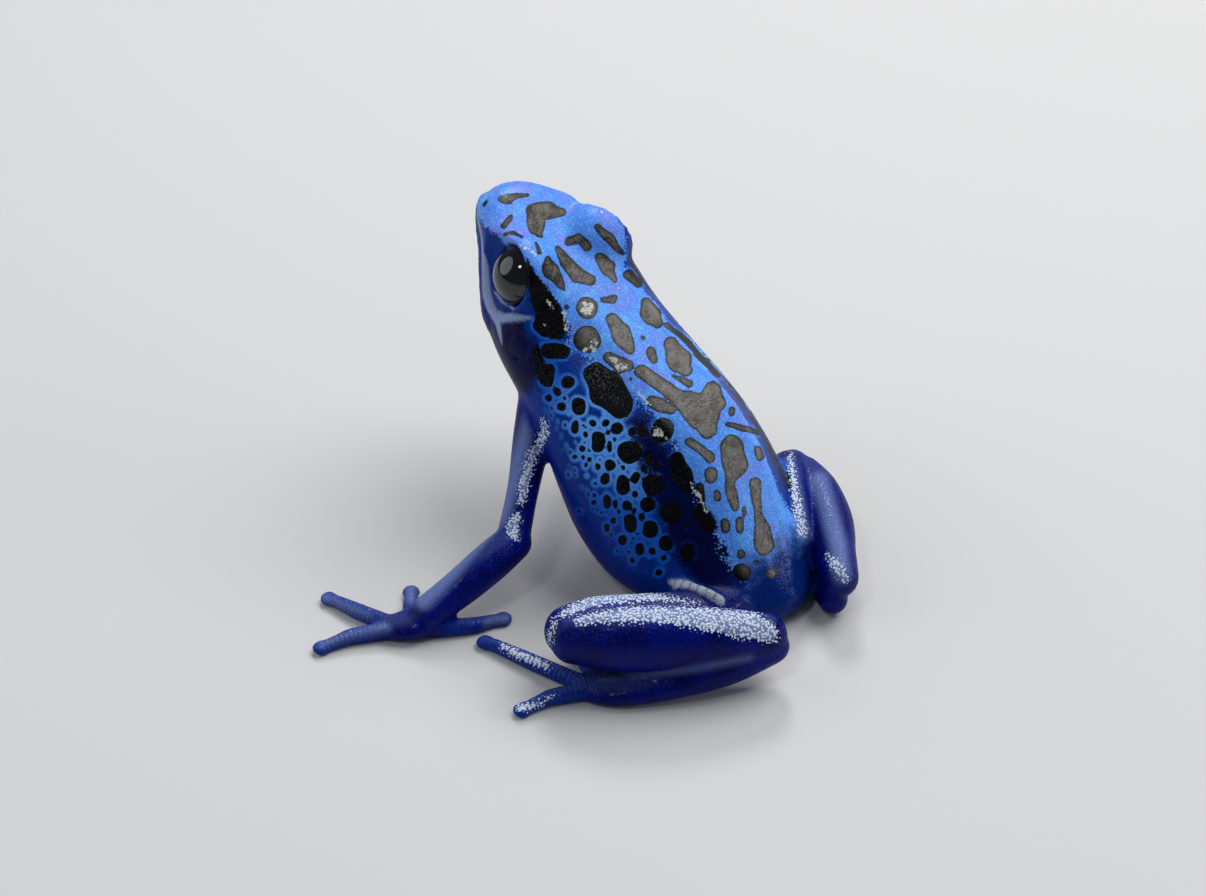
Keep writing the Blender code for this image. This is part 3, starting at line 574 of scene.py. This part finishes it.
def ear_ring(side, count=64, sides=10):
    """The groove round the eardrum, a closed cord flat on the side of the head."""
    middle = skin_point(EAR_ROW, EAR_POINT, side)
    ahead = skin_point(EAR_ROW + 1, EAR_POINT, side) - skin_point(EAR_ROW - 1, EAR_POINT, side)
    down = skin_point(EAR_ROW, EAR_POINT + 1, side) - skin_point(EAR_ROW, EAR_POINT - 1, side)
    ahead.normalize()
    off_skin = ahead.cross(down).normalized()
    turn = Matrix((ahead, off_skin.cross(ahead), off_skin)).transposed()
    rings = []
    for angle in turns(count):
        outward = Vector((math.cos(angle), math.sin(angle), 0.0))
        ring = []
        for tilt in turns(sides):
            arm = outward * (EAR_RADIUS + EAR_GROOVE * math.cos(tilt))
            arm.z = EAR_GROOVE * math.sin(tilt)
            ring.append(middle + turn @ arm * MM)
        rings.append(ring)
    return skin_rings("ear_ring", rings, closed=True)


def head_cutters():
    """Mouth, sockets, lid openings, nostrils and ear rings, to be cut from the head."""
    cutters = [bead("mouth", mouth_line(0.0, 0.0), MOUTH_RADIUS)]
    for side in SIDES:
        cutters.append(ball("socket", on_side(EYE_PLACE, side), (EYE_RADIUS,) * 3))
        opening = along(EYE_PLACE, EYE_LOOK, side, LID_OPENING_SHIFT)
        cutters.append(ball("opening", opening, LID_OPENING, pointing(EYE_LOOK, side)))
        nostril = ball("nostril", (0.0, 0.0, 0.0), NOSTRIL, pointing(NOSTRIL_LOOK, side))
        shift = skin_point(NOSTRIL_ROW, NOSTRIL_POINT, side) - at(0.0, 0.0, 0.0)
        nostril.data.transform(Matrix.Translation(shift))
        cutters.append(nostril)
        cutters.append(ear_ring(side))
    return cutters


def floor_block(width=0.2, depth=0.02):
    """A block under the floor, which cuts belly, hands and feet flat."""
    bm = bmesh.new()
    bmesh.ops.create_cube(bm, size=1.0)
    place = Matrix.Translation((0.0, 0.0, -0.5 * depth))
    scale = Matrix.Diagonal((width, width, depth, 1.0))
    bmesh.ops.transform(bm, matrix=place @ scale, verts=bm.verts)
    return mesh_object("floor_cutter", bm)


# ---- the skin ----
def build_skin():
    """Head, trunk and limbs as one closed surface, with the head's openings sunk in."""
    bulges = [skin_rings("core", trunk_rings(2))]
    for side in SIDES:
        bulges.append(ball("lid", on_side(EYE_PLACE, side), (LID_REACH,) * 3))
        bulges.append(tube("brow", [on_side(station[:3], side) + station[3:] for station in BROW]))
    pieces = [fuse("skull", bulges, SKULL_VOXEL, SKULL_ROUNDS)]
    for drop in (-LIP_SPREAD, LIP_SPREAD):
        pieces.append(bead("lip", mouth_line(drop, LIP_SINK), LIP_RADIUS))
    for stations in LIMBS + (FOLD,):
        pieces.append(tube("limb", stations))
    for row in DIGITS:
        pieces += digit(*row)
    skin = fuse("frog_skin", pieces, VOXEL, 2)
    for cutter in head_cutters() + [floor_block()]:
        cut(skin, cutter)
        discard(cutter)
    skin = fuse("frog_skin", [skin], VOXEL, 1)
    skin.name = "frog_skin"
    skin.data.name = "frog_skin"
    skin.data.shade_smooth()
    return skin


# ---- markings on the skin ----
def camera_axes():
    """Right, up and look directions of the camera."""
    heading, pitch = math.radians(CAMERA_HEADING), math.radians(CAMERA_PITCH)
    level = -math.cos(pitch)
    look = Vector((level * math.sin(heading), level * math.cos(heading), -math.sin(pitch)))
    right = look.cross(UP).normalized()
    return right, right.cross(look), look


def to_pixels(points):
    """Where points of the frame show in the photograph, in its pixels, and pixels to a metre."""
    right, up, look = (np.array(axis) for axis in camera_axes())
    offset = points - np.array(CAMERA_PLACE) * MM
    depth = offset @ look
    across = PHOTO_WIDTH / 2 + FOCAL_PIXELS * (offset @ right) / depth
    down = PHOTO_HEIGHT / 2 - FOCAL_PIXELS * (offset @ up) / depth
    return np.stack((across, down), axis=1), FOCAL_PIXELS / depth


def on_skin(tree, across, down):
    """The point of the skin that shows at a pixel of the photograph, and its normal."""
    right, up, look = camera_axes()
    direction = (
        look
        + right * ((across - PHOTO_WIDTH / 2) / FOCAL_PIXELS)
        - up * ((down - PHOTO_HEIGHT / 2) / FOCAL_PIXELS)
    ).normalized()
    place, normal, _, _ = tree.ray_cast(Vector(CAMERA_PLACE) * MM, direction)
    return place, normal


def warped(points, size, amount, place):
    """Points shifted by a smooth random field."""
    result = np.empty_like(points)
    for i, point in enumerate(points):
        value = noise.noise_vector(Vector(point) / (size * MM) + Vector((place,) * 3))
        result[i] = point + np.array(value) * (amount * MM)
    return result


def near_segment(points, first, second):
    """Share along a segment and distance to it, for points of any dimension."""
    step = second - first
    square = float(step @ step)
    share = np.zeros(len(points))
    if square > 0.0:
        share = np.clip((points - first) @ step / square, 0.0, 1.0)
    gap = points - first - share[:, None] * step
    return share, np.sqrt((gap * gap).sum(axis=1))


def mark_distance(points, marks, tree, far=1.0):
    """Signed distance to the nearest mark's edge, in millimetres, negative inside it.

    It is measured in the photograph and in space, so that no mark reaches what lies behind.
    """
    pixels, scale = to_pixels(points)
    look = camera_axes()[2]
    nearest = np.full(len(points), far)
    for chain in marks:
        placed = []
        for across, down, half in chain:
            place, normal = on_skin(tree, across, down)
            if place is None:
                continue
            lean = max(LEAN_LIMIT, abs(normal.dot(look)))
            placed.append((np.array((across, down)), half, np.array(place), lean))
        if len(placed) == 1:
            placed.append(placed[0])
        pairs = zip(placed, placed[1:])
        for (start, wide, place, lean), (end, end_wide, end_place, end_lean) in pairs:
            reach = max(wide, end_wide) + far * PIXELS_PER_MM
            low = np.minimum(start, end) - reach
            high = np.maximum(start, end) + reach
            near = np.nonzero(((pixels > low) & (pixels < high)).all(axis=1))[0]
            share, flat = near_segment(pixels[near], start, end)
            half = wide + (end_wide - wide) * share
            edge = (flat - half) / (scale[near] * MM)
            _, solid = near_segment(points[near], place, end_place)
            beyond = solid / MM - (half / (scale[near] * MM)) / min(lean, end_lean)
            found = np.maximum(edge, beyond - DEPTH_SLACK * min(far, CLEAR))
            nearest[near] = np.minimum(nearest[near], found)
    return nearest


def smooth_step(values, low, high):
    """0 below a range and 1 above it, with a smooth rise between."""
    share = np.clip((values - low) / (high - low), 0.0, 1.0)
    return share * share * (3.0 - 2.0 * share)


def fade(values, low, high):
    """1 below a range and 0 above it."""
    return 1.0 - smooth_step(values, low, high)


def trunk_places(points, finer=4):
    """Each point's nearest row and ring's point, 0 on top to 28 below, and its distance."""
    rings = trunk_rings(finer)
    around = len(rings[0])
    tree = KDTree(len(rings) * around)
    for i, ring in enumerate(rings):
        for k, place in enumerate(ring):
            tree.insert(place, i * around + k)
    tree.balance()
    found = []
    for point in points:
        _, index, distance = tree.find(point)
        step = index % around
        found.append((index // around / finer, min(step, around - step) / finer, distance / MM))
    return np.array(found).T


def path_distance(points, path):
    """Signed distance to a band along the head's sides, given by ring rows and points."""
    rings = trunk_rings()
    nearest = np.full(len(points), CLEAR)
    placed = []
    for row, step, half in path:
        first = int(step)
        placed.append((rings[row][first].lerp(rings[row][first + 1], step - first), half))
    mirrored = [(mirror(place), half) for place, half in placed]
    steps = list(zip(placed, placed[1:])) + list(zip(mirrored, mirrored[1:]))
    if path[-1][0] == LAST_ROW:
        steps.append((placed[-1], mirrored[-1]))
    for one, other in steps:
        share, gap = near_segment(points, np.array(one[0]), np.array(other[0]))
        nearest = np.minimum(nearest, gap / MM - (one[1] + (other[1] - one[1]) * share))
    return nearest


def path_steps(points, path):
    """For each step of a path: the way along it and the distance, in millimetres, and the share."""
    base = 0.0
    for start, end in zip(path, path[1:]):
        share, gap = near_segment(points, start, end)
        length = np.linalg.norm(end - start) / MM
        yield base + share * length, gap / MM, share
        base += length


def digit_places(points):
    """How far along its finger or toe a point lies, in millimetres, and 0 on the rest."""
    along_digit = np.zeros(len(points))
    low = points[:, 2] < 2.2 * DIGIT_RADIUS * MM
    for row in DIGITS:
        path = [np.array(at(*place, 0.0))[:2] for place in row]
        for way, gap, share in path_steps(points[:, :2], path):
            near = low & (gap < 1.3 * DIGIT_RADIUS) & (share > 0.0)
            along_digit[near] = way[near]
    return along_digit


def fold_places(points):
    """Distance from the fold's middle line and the way along it, both in millimetres."""
    nearest, along_fold = np.full(len(points), CLEAR), np.zeros(len(points))
    for way, gap, _ in path_steps(points, [np.array(at(*station[:3])) for station in FOLD]):
        nearer = gap < nearest
        nearest[nearer] = gap[nearer]
        along_fold[nearer] = way[nearer]
    return nearest, along_fold


def ridge_steps(rows, tree):
    """For each row of the trunk the ring's point at which the bright back ends."""
    found = [on_skin(tree, *pixel)[0] for pixel in RIDGE_LINE]
    line_rows, line_steps, _ = trunk_places([place for place in found if place is not None])
    order = np.argsort(line_rows)
    return np.interp(rows, line_rows[order], line_steps[order])


def softened(mesh, values, where, rounds):
    """Values averaged in rounds with their neighbours', where asked."""
    ends = np.empty(len(mesh.edges) * 2, dtype=np.int32)
    mesh.edges.foreach_get("vertices", ends)
    first, second = ends[0::2], ends[1::2]
    count = len(values)
    neighbours = np.bincount(ends, minlength=count)
    for _ in range(rounds):
        total = np.bincount(first, values[second], count)
        total += np.bincount(second, values[first], count)
        values = np.where(where, 0.5 * (values + total / neighbours), values)
    return values


def vertex_vectors(mesh, kind):
    """A mesh's places ("co") or normals ("normal"), as rows."""
    values = np.empty(len(mesh.vertices) * 3)
    mesh.vertices.foreach_get(kind, values)
    return values.reshape(-1, 3)


def trunk_values(points, tree, ridge, limb):
    """The spots and regions of head and trunk.

    The photograph doesn't show the right side. It has the left side's marks, its spots shifted.
    """
    noise.seed_set(NOISE_SEED)
    left = points[:, 0] + FRAME_LEFT * MM > 0.0
    shifted = warped(points, *EDGE_WARP)
    other = shifted.copy()
    other[:, 0] = -2.0 * FRAME_LEFT * MM - other[:, 0]
    folded = np.where(left[:, None], shifted, other)
    seen = mark_distance(shifted, HEAD_MARKS + BACK_MARKS + RIDGE_MARKS + FLANK_MARKS, tree)
    hidden = mark_distance(warped(other, *SIDE_WARP), RIDGE_MARKS + FLANK_MARKS, tree)
    on_back = smooth_step(ridge, *RIDGE_FADE)
    hidden += 0.9 * on_back
    hidden[left] = 1.0
    values = {"spots": np.minimum(seen, hidden) + CLEAR * limb}
    for name, marks, low, high in (
        ("face_black", FACE_BLACK, -0.35, 0.25),
        # Navy is painted shade; the lower lid's pale edge is a painted highlight.
        ("navy", NAVY_SHADE_MARKS, -0.9, 1.4),
        ("lid_edge", LID_EDGE, -0.06, 0.10),
        ("net", NET, -0.8, 3.0),
        ("busy", BUSY, -0.6, 1.2),
    ):
        inside = fade(mark_distance(folded, marks, tree, 3.5), low, high)
        inside[~left] *= 1.0 - on_back[~left]
        values[name] = inside * (1.0 - limb)
    return values


def limb_values(points, upward, tree, off_core, limb):
    """The fold's painted highlight, the limbs' painted granule highlights and sheen, and painted
    glints.
    """
    # Upward faces of the limbs get a little painted highlight and sheen as well.
    level = smooth_step(upward, 0.80, 0.99) * limb * smooth_step(off_core, 0.9, 1.8)
    off_fold, along_fold = fold_places(points)
    frost = fade(mark_distance(points, HIGHLIGHT_MARKS, tree), -0.50, 0.45)
    limb_sheen = fade(mark_distance(points, SHEEN_MARKS, tree), -0.50, 0.45)
    return {
        # Painted highlight on the fold's upper side
        "fold": fade(off_fold, 0.34, 0.50) * smooth_step(upward, 0.10, 0.45),
        "fold_along": along_fold,
        "frost": np.maximum(frost, 0.12 * level),
        "limb_sheen": np.maximum(limb_sheen, 0.22 * level),
        "glint": fade(mark_distance(points, GLINT, tree), -0.22, 0.12),
        "along": digit_places(points),
    }


def face_values(points):
    """The line of the mouth, the nostrils and the painted sheen along the lip."""
    gap = np.full(len(points), CLEAR)
    for side in SIDES:
        nostril = np.array(skin_point(NOSTRIL_ROW, NOSTRIL_POINT, side))
        gap = np.minimum(gap, np.linalg.norm(points - nostril, axis=1) / MM)
    stripe = np.minimum(path_distance(points, STRIPE), path_distance(points, STRIPE_FORK))
    return {
        "mouth": fade(path_distance(points, MOUTH), -0.08, 0.14),
        "nostril": fade(gap, 0.22, 0.40),
        "lip_sheen": fade(stripe, -0.12, 0.10),
    }


def paint(skin):
    """Keeps markings and regions at the skin's points, for its material."""
    mesh = skin.data
    points = vertex_vectors(mesh, "co")
    upward = vertex_vectors(mesh, "normal")[:, 2]
    tree = BVHTree.FromPolygons(
        [tuple(p) for p in points], [tuple(p.vertices) for p in mesh.polygons]
    )
    rows, steps, off_core = trunk_places(points)
    limb = smooth_step(off_core, 0.15, 0.8)
    limb[(points[:, 2] > CHEST_HEIGHT * MM) & (rows > NECK_ROW)] = 0.0
    ridge = ridge_steps(rows, tree) - steps
    ridge = softened(mesh, ridge, rows > SNOUT_ROW, SNOUT_ROUNDS)
    values = {"ridge": ridge, "rows": rows, "limb": limb}
    values |= trunk_values(points, tree, ridge, limb)
    values |= limb_values(points, upward, tree, off_core, limb)
    values |= face_values(points)
    for name, numbers in values.items():
        layer = mesh.attributes.new(name, "FLOAT", "POINT")
        layer.data.foreach_set("value", numbers.astype(np.float32))
    return skin


# ---- materials ----
class Graph:
    """A material's nodes, made by short calls that give back their output sockets."""

    def __init__(self, name):
        self.material = bpy.data.materials.new(name)
        self.material.use_nodes = True
        self.nodes = self.material.node_tree.nodes
        self.links = self.material.node_tree.links
        self.shader = self.nodes["Principled BSDF"]
        self.place = self.nodes.new("ShaderNodeTexCoord").outputs["Object"]

    def feed(self, socket, value):
        if isinstance(value, bpy.types.NodeSocket):
            self.links.new(value, socket)
        elif isinstance(value, tuple):
            socket.default_value = (*value, 1.0)
        else:
            socket.default_value = value

    def node(self, kind, inputs, **properties):
        node = self.nodes.new("ShaderNode" + kind)
        for name, value in properties.items():
            setattr(node, name, value)
        for name, value in inputs.items():
            self.feed(node.inputs[name], value)
        return node

    def attribute(self, name):
        return self.node("Attribute", {}, attribute_name=name).outputs["Fac"]

    def math(self, operation, *values):
        return self.node("Math", dict(enumerate(values)), operation=operation).outputs[0]

    def plus(self, value, other, share=1.0):
        """A value and so much of another, added."""
        if share != 1.0:
            other = self.math("MULTIPLY", other, share)
        return self.math("ADD", value, other)

    def wave(self, value, length):
        return self.math("SINE", self.math("MULTIPLY", value, 2.0 * math.pi / length))

    def noise(self, size, detail=3.0):
        """Smooth random values about 0.5, with features of a size."""
        inputs = {"Scale": 1.0 / (size * MM), "Detail": detail, "Roughness": 0.55}
        return self.node("TexNoise", {"Vector": self.place, **inputs}).outputs["Fac"]

    def grains(self, size):
        """Distance from the middle of the nearest grain of skin."""
        inputs = {"Vector": self.place, "Scale": 1.0 / (size * MM)}
        return self.node("TexVoronoi", inputs).outputs["Distance"]

    def step(self, value, low, high, start=0.0, end=1.0):
        """A smooth rise from start to end, while the value goes from low to high."""
        inputs = {"Value": value, "From Min": low, "From Max": high, "To Min": start, "To Max": end}
        return self.node("MapRange", inputs, interpolation_type="SMOOTHSTEP").outputs["Result"]

    def mix(self, share, first, second):
        """The first colour, and the second where the share is 1."""
        return self.node("Mix", {0: share, 6: first, 7: second}, data_type="RGBA").outputs[2]

    def bump(self, height, distance, strength=1.0, normal=None):
        """A normal for a height of 0 to 1 times a distance in millimetres."""
        inputs = {"Height": height, "Distance": distance * MM, "Strength": strength}
        if normal is not None:
            inputs["Normal"] = normal
        return self.node("Bump", inputs).outputs["Normal"]

    def finished(self, colour, settings):
        """The material, with its colour and what is the same all over it."""
        self.feed(self.shader.inputs["Base Color"], colour)
        for name, value in settings.items():
            self.shader.inputs[name].default_value = value
        return self.material


class SkinGraph(Graph):
    """The skin's nodes, with the fields that several of its colours share."""

    def __init__(self):
        super().__init__("frog_skin")
        self.fine = self.math("SUBTRACT", self.noise(0.16), 0.5)
        self.loose = self.math("SUBTRACT", self.noise(0.9), 0.5)
        self.broad = self.noise(2.4)
        self.dome = self.step(self.grains(0.19), 0.10, 0.62, 1.0, 0.0)
        self.high = self.math("SUBTRACT", self.dome, 0.5)
        fields = ("spots", "ridge", "limb", "frost", "rows", "along")
        self.spots, self.ridge, self.limb, self.frost, self.rows, self.along = (
            self.attribute(name) for name in fields
        )
        self.creases = self.wave(self.along, CREASE_STEP)


BACK_BLUE = (0.10, 0.32, 0.94)
BACK_CYAN = (0.13, 0.42, 0.98)
BACK_LILAC = (0.18, 0.24, 0.78)
BACK_SHADE = (0.03, 0.15, 0.62)
BACK_LIGHT = (0.28, 0.52, 1.00)
NET_BLUE = (0.12, 0.38, 0.98)
FLANK_LINE = (0.008, 0.125, 0.62)
FLANK_BLUE = (0.001, 0.035, 0.27)
# Painted shade: navy beside the ridge and below the eye
NAVY_SHADE = (0.000, 0.002, 0.045)
# Painted shade of the rump
RUMP_SHADE = (0.001, 0.018, 0.16)
LIMB_BLUE = (0.000, 0.005, 0.17)
LIMB_SHADE = (0.000, 0.002, 0.09)
DIGIT_BLUE = (0.004, 0.030, 0.27)
# Painted highlight of the thigh's fold, and painted shade in its creases
FOLD_HIGHLIGHT = (0.36, 0.40, 0.48)
FOLD_CREASE_SHADE = (0.15, 0.17, 0.28)
# Painted sheen of the limbs' sides
SHEEN_BLUE = (0.115, 0.165, 0.40)
# Painted highlights of the limbs' granules
HIGHLIGHT_BLUE = (0.16, 0.21, 0.40)
HIGHLIGHT_WHITE = (0.68, 0.76, 0.90)
# Painted sheen along the lip, also the lower lid's pale edge
LIP_SHEEN_LILAC = (0.26, 0.34, 0.56)
SPOT_BLACK = (0.002, 0.002, 0.003)
SPOT_RIM = (0.016, 0.015, 0.014)
# Painted sheen on the back's black spots
SPOT_SHEEN_BROWN = (0.085, 0.078, 0.068)
SPOT_SHEEN_OLIVE = (0.018, 0.016, 0.012)
SPOT_SHEEN_KHAKI = (0.150, 0.136, 0.108)
SPOT_SHEEN_GREY = (0.185, 0.176, 0.160)
# Painted glints
GLINT_SILVER = (0.74, 0.74, 0.66)
EYE_BLACK = (0.003, 0.003, 0.004)
EYE_BROWN = (0.014, 0.008, 0.006)
FLOOR_GREY = (0.62, 0.61, 0.60)
SKY_BLUE = (0.62, 0.78, 1.0)


def back_colour(g):
    """Bright blue, clouded with lilac and cyan, with painted shade in the grooves and painted
    highlights on the granules.
    """
    colour = g.mix(g.step(g.broad, 0.46, 0.70), BACK_BLUE, BACK_LILAC)
    colour = g.mix(g.step(g.noise(1.3), 0.50, 0.68), colour, BACK_CYAN)
    grainy = g.plus(g.high, g.fine, 1.5)
    # Painted shade in the grooves between granules, and painted highlights on them
    colour = g.mix(g.step(grainy, -0.75, 0.10, 0.45, 0.0), colour, BACK_SHADE)
    return g.mix(g.step(grainy, -0.10, 0.45, 0.0, 0.35), colour, BACK_LIGHT)


def flank_colour(g, halo):
    """Dark blue, with a net of lines round spots and dots, darker towards the belly, and navy
    painted shade beside the ridge.
    """
    line = g.mix(g.attribute("net"), FLANK_LINE, NET_BLUE)
    colour = g.mix(g.step(g.spots, 0.06, 0.34, 1.0, 0.0), FLANK_BLUE, line)
    colour = g.mix(halo, colour, line)
    # Darker further from the ridge, towards the belly: partly the skin's own colour, partly painted
    # shade.
    colour = g.mix(g.step(g.ridge, -4.5, -11.0), colour, LIMB_BLUE)
    # Navy painted shade, broken up by noise and granules
    shade = g.plus(g.attribute("navy"), g.plus(g.loose, g.high, 0.3))
    return g.mix(g.step(shade, 0.15, 0.85), colour, NAVY_SHADE)


def body_colour(g, halo):
    """The back, with a grainy border to the flank, and the rump darkened by painted shade."""
    border = g.plus(g.plus(g.ridge, g.loose, 2.6), g.high, 0.9)
    colour = g.mix(g.step(border, -0.35, 0.35), flank_colour(g, halo), back_colour(g))
    # Painted shade over the rump
    from_rump = g.plus(g.rows, g.loose, 6.0)
    return g.mix(g.step(from_rump, 12.0, 6.0), colour, RUMP_SHADE)


def limb_colour(g):
    """Deep blue, lighter on fingers and toes, and with painted sheen on the hazy sides."""
    colour = g.mix(g.step(g.broad, 0.35, 0.65), LIMB_BLUE, LIMB_SHADE)
    colour = g.mix(g.step(g.along, 0.0, 2.0, 0.0, 0.85), colour, DIGIT_BLUE)
    return g.mix(g.attribute("limb_sheen"), colour, SHEEN_BLUE)


def black_cover(g, dots):
    """Where the skin is black: on spots and dots, and in a torn patch behind the eye."""
    edge = g.plus(g.spots, g.fine, 0.10)
    black = g.math("MAXIMUM", g.step(edge, -0.04, 0.04, 1.0, 0.0), dots)
    torn = g.plus(g.fine, g.loose, 0.9)
    dark_face = g.step(g.plus(g.attribute("face_black"), torn), 0.38, 0.62)
    return g.math("MAXIMUM", black, dark_face)


def black_colour(g):
    """Black on the flank, and on the back a painted sheen: brown, or olive near the head, inside a
    black rim.
    """
    patchy = g.plus(g.loose, g.fine, 1.1)
    brown = g.mix(g.step(patchy, -0.24, 0.18), SPOT_SHEEN_BROWN, SPOT_SHEEN_GREY)
    olive = g.mix(g.step(patchy, -0.22, 0.24), SPOT_SHEEN_OLIVE, SPOT_SHEEN_KHAKI)
    brown = g.mix(g.step(g.rows, 36.0, 50.0, 0.0, 0.9), brown, olive)
    rim = g.plus(g.spots, g.fine, 0.6)
    brown = g.mix(g.step(rim, -0.22, 0.00), brown, SPOT_RIM)
    # On the back the black spots are lifted to the painted sheen
    return g.mix(g.step(g.ridge, 0.0, 2.4), SPOT_BLACK, brown)


def with_granules(g, colour):
    """A colour under painted highlights on the granules, which lie in rings on fingers and toes."""
    ring = g.math("MULTIPLY", g.step(g.creases, -0.5, 0.3), g.step(g.along, 0.0, 0.1))
    bright = g.math("MAXIMUM", g.step(g.dome, 0.02, 0.24), ring)
    cover = g.plus(g.plus(g.frost, g.high, 0.55), g.fine, 0.4)
    return g.mix(g.step(cover, 0.36, 0.60), colour, g.mix(bright, HIGHLIGHT_BLUE, HIGHLIGHT_WHITE))


def with_fold(g, colour):
    """A colour beside the ribbed fold of the thigh, painted pale as a highlight, with painted shade
    in its creases.
    """
    ribs = g.plus(g.wave(g.attribute("fold_along"), FOLD_STEP), g.fine, 3.0)
    fold = g.mix(g.step(ribs, -1.4, -0.2), FOLD_CREASE_SHADE, FOLD_HIGHLIGHT)
    return g.mix(g.attribute("fold"), colour, fold)


def with_glints(g, colour):
    """A colour under painted silver glints, the highlights of wet granules."""
    wet = g.plus(g.math("SUBTRACT", g.noise(0.34, 2.0), 0.5), g.high, 0.25)
    wet = g.plus(g.attribute("glint"), wet, 1.6)
    return g.mix(g.step(wet, 0.66, 0.92, 0.0, 0.8), colour, GLINT_SILVER)


def skin_relief(g, black):
    """Granules, coarser on limbs and spots, and rings round the digits."""
    relief = g.plus(g.math("MULTIPLY", g.limb, 0.30), black, 0.25)
    relief = g.plus(g.plus(relief, g.frost, 0.5), 0.25)
    granules = g.bump(g.math("MULTIPLY", g.dome, relief), 0.05)
    rough_skin = g.bump(g.noise(0.12, 2.0), 0.012, 0.8, granules)
    return g.bump(g.creases, 0.02, 0.8, rough_skin)


def skin_material():
    """The whole skin's colours and relief, under a thin wet coat."""
    g = SkinGraph()
    away = g.math("MULTIPLY", g.attribute("busy"), g.step(g.spots, 0.10, 0.22))
    seed = g.plus(g.grains(0.72), g.fine, 0.25)
    dots = g.math("MULTIPLY", g.step(seed, 0.27, 0.21), away)
    halo = g.math("MULTIPLY", g.step(seed, 0.60, 0.36), away)
    black = black_cover(g, dots)
    colour = g.mix(g.limb, body_colour(g, halo), limb_colour(g))
    colour = g.mix(black, colour, black_colour(g))
    # Painted sheen along the lip and painted highlight on the lower lid's edge
    colour = g.mix(g.attribute("lip_sheen"), colour, LIP_SHEEN_LILAC)
    colour = g.mix(g.attribute("lid_edge"), colour, LIP_SHEEN_LILAC)
    openings = g.math("MAXIMUM", g.attribute("mouth"), g.attribute("nostril"))
    colour = g.mix(openings, colour, SPOT_BLACK)
    # Painted highlights: on granules, on the fold and as glints
    colour = with_glints(g, with_fold(g, with_granules(g, colour)))
    relief = skin_relief(g, black)
    g.feed(g.shader.inputs["Normal"], relief)
    g.feed(g.shader.inputs["Coat Normal"], relief)
    return g.finished(colour, {
        "Roughness": 0.45, "Specular IOR Level": 0.02,
        "Coat Weight": 0.25, "Coat Roughness": 0.14, "Coat IOR": 1.40,
    })


def eye_material():
    """Black with faint brown specks, very glossy."""
    g = Graph("frog_eye")
    colour = g.mix(g.step(g.noise(0.3, 4.0), 0.5, 0.8), EYE_BLACK, EYE_BROWN)
    return g.finished(colour, {"Roughness": 0.06, "IOR": 1.60})


# ---- the frog ----
FLESH = [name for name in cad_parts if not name.startswith("eye")]

skin = paint(build_skin())
skin.data.materials.clear()
skin.data.materials.append(skin_material())
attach(skin, "root")
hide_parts(*FLESH)

for side, word in zip(SIDES, ("left", "right")):
    eye = ball("eyeball_" + word, on_side(EYE_PLACE, side), (EYE_RADIUS - EYE_GAP,) * 3)
    eye.data.shade_smooth()
    eye.data.materials.append(eye_material())
    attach(eye, "root")
    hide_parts("eye_" + word)

# ---- floor, light and camera ----
# Each soft light: direction from the frog, diameter in metres and power in watts
LIGHTS = {
    "softbox": ((-0.54, 0.10, 0.84), 0.36, 1.45),
    "strip": ((-0.50, -0.52, 0.69), 0.12, 0.70),
    "side": ((-0.66, 0.70, 0.26), 0.12, 0.30),
    "window": ((0.56, -0.68, 0.46), 0.42, 0.65),
    "spark": ((0.50, 0.10, 0.86), 0.07, 0.20),
}
LIGHT_DISTANCE = 0.45
LIGHT_AIM = Vector((0.0, 0.0, 0.01))

bm = bmesh.new()
bmesh.ops.create_grid(bm, x_segments=1, y_segments=1, size=3.0)
floor = mesh_object("floor", bm)
floor.data.materials.append(Graph("floor").finished(FLOOR_GREY, {"Roughness": 0.75}))

for name, (direction, size, power) in LIGHTS.items():
    light = bpy.data.lights.new(name, "AREA")
    light.shape = "DISK"
    light.size = size
    light.energy = power
    lamp = new_object(name, light)
    towards = Vector(direction).normalized()
    lamp.location = LIGHT_AIM + towards * LIGHT_DISTANCE
    lamp.rotation_mode = "QUATERNION"
    lamp.rotation_quaternion = towards.to_track_quat("Z", "Y")

world = bpy.data.worlds.new("studio")
world.use_nodes = True
background = world.node_tree.nodes["Background"]
background.inputs["Color"].default_value = (*SKY_BLUE, 1.0)
background.inputs["Strength"].default_value = 0.15
bpy.context.scene.world = world

right, up, look = camera_axes()
camera = new_object("camera", bpy.data.cameras.new("camera"))
turn = Matrix((right, up, -look)).transposed().to_4x4()
camera.matrix_world = Matrix.Translation(Vector(CAMERA_PLACE) * MM) @ turn
camera.data.lens = SENSOR * FOCAL_PIXELS / PHOTO_WIDTH
camera.data.sensor_width = SENSOR
camera.data.clip_start = 0.005
camera.data.clip_end = 10.0
bpy.context.scene.camera = camera
bpy.context.scene.view_settings.view_transform = "Standard"
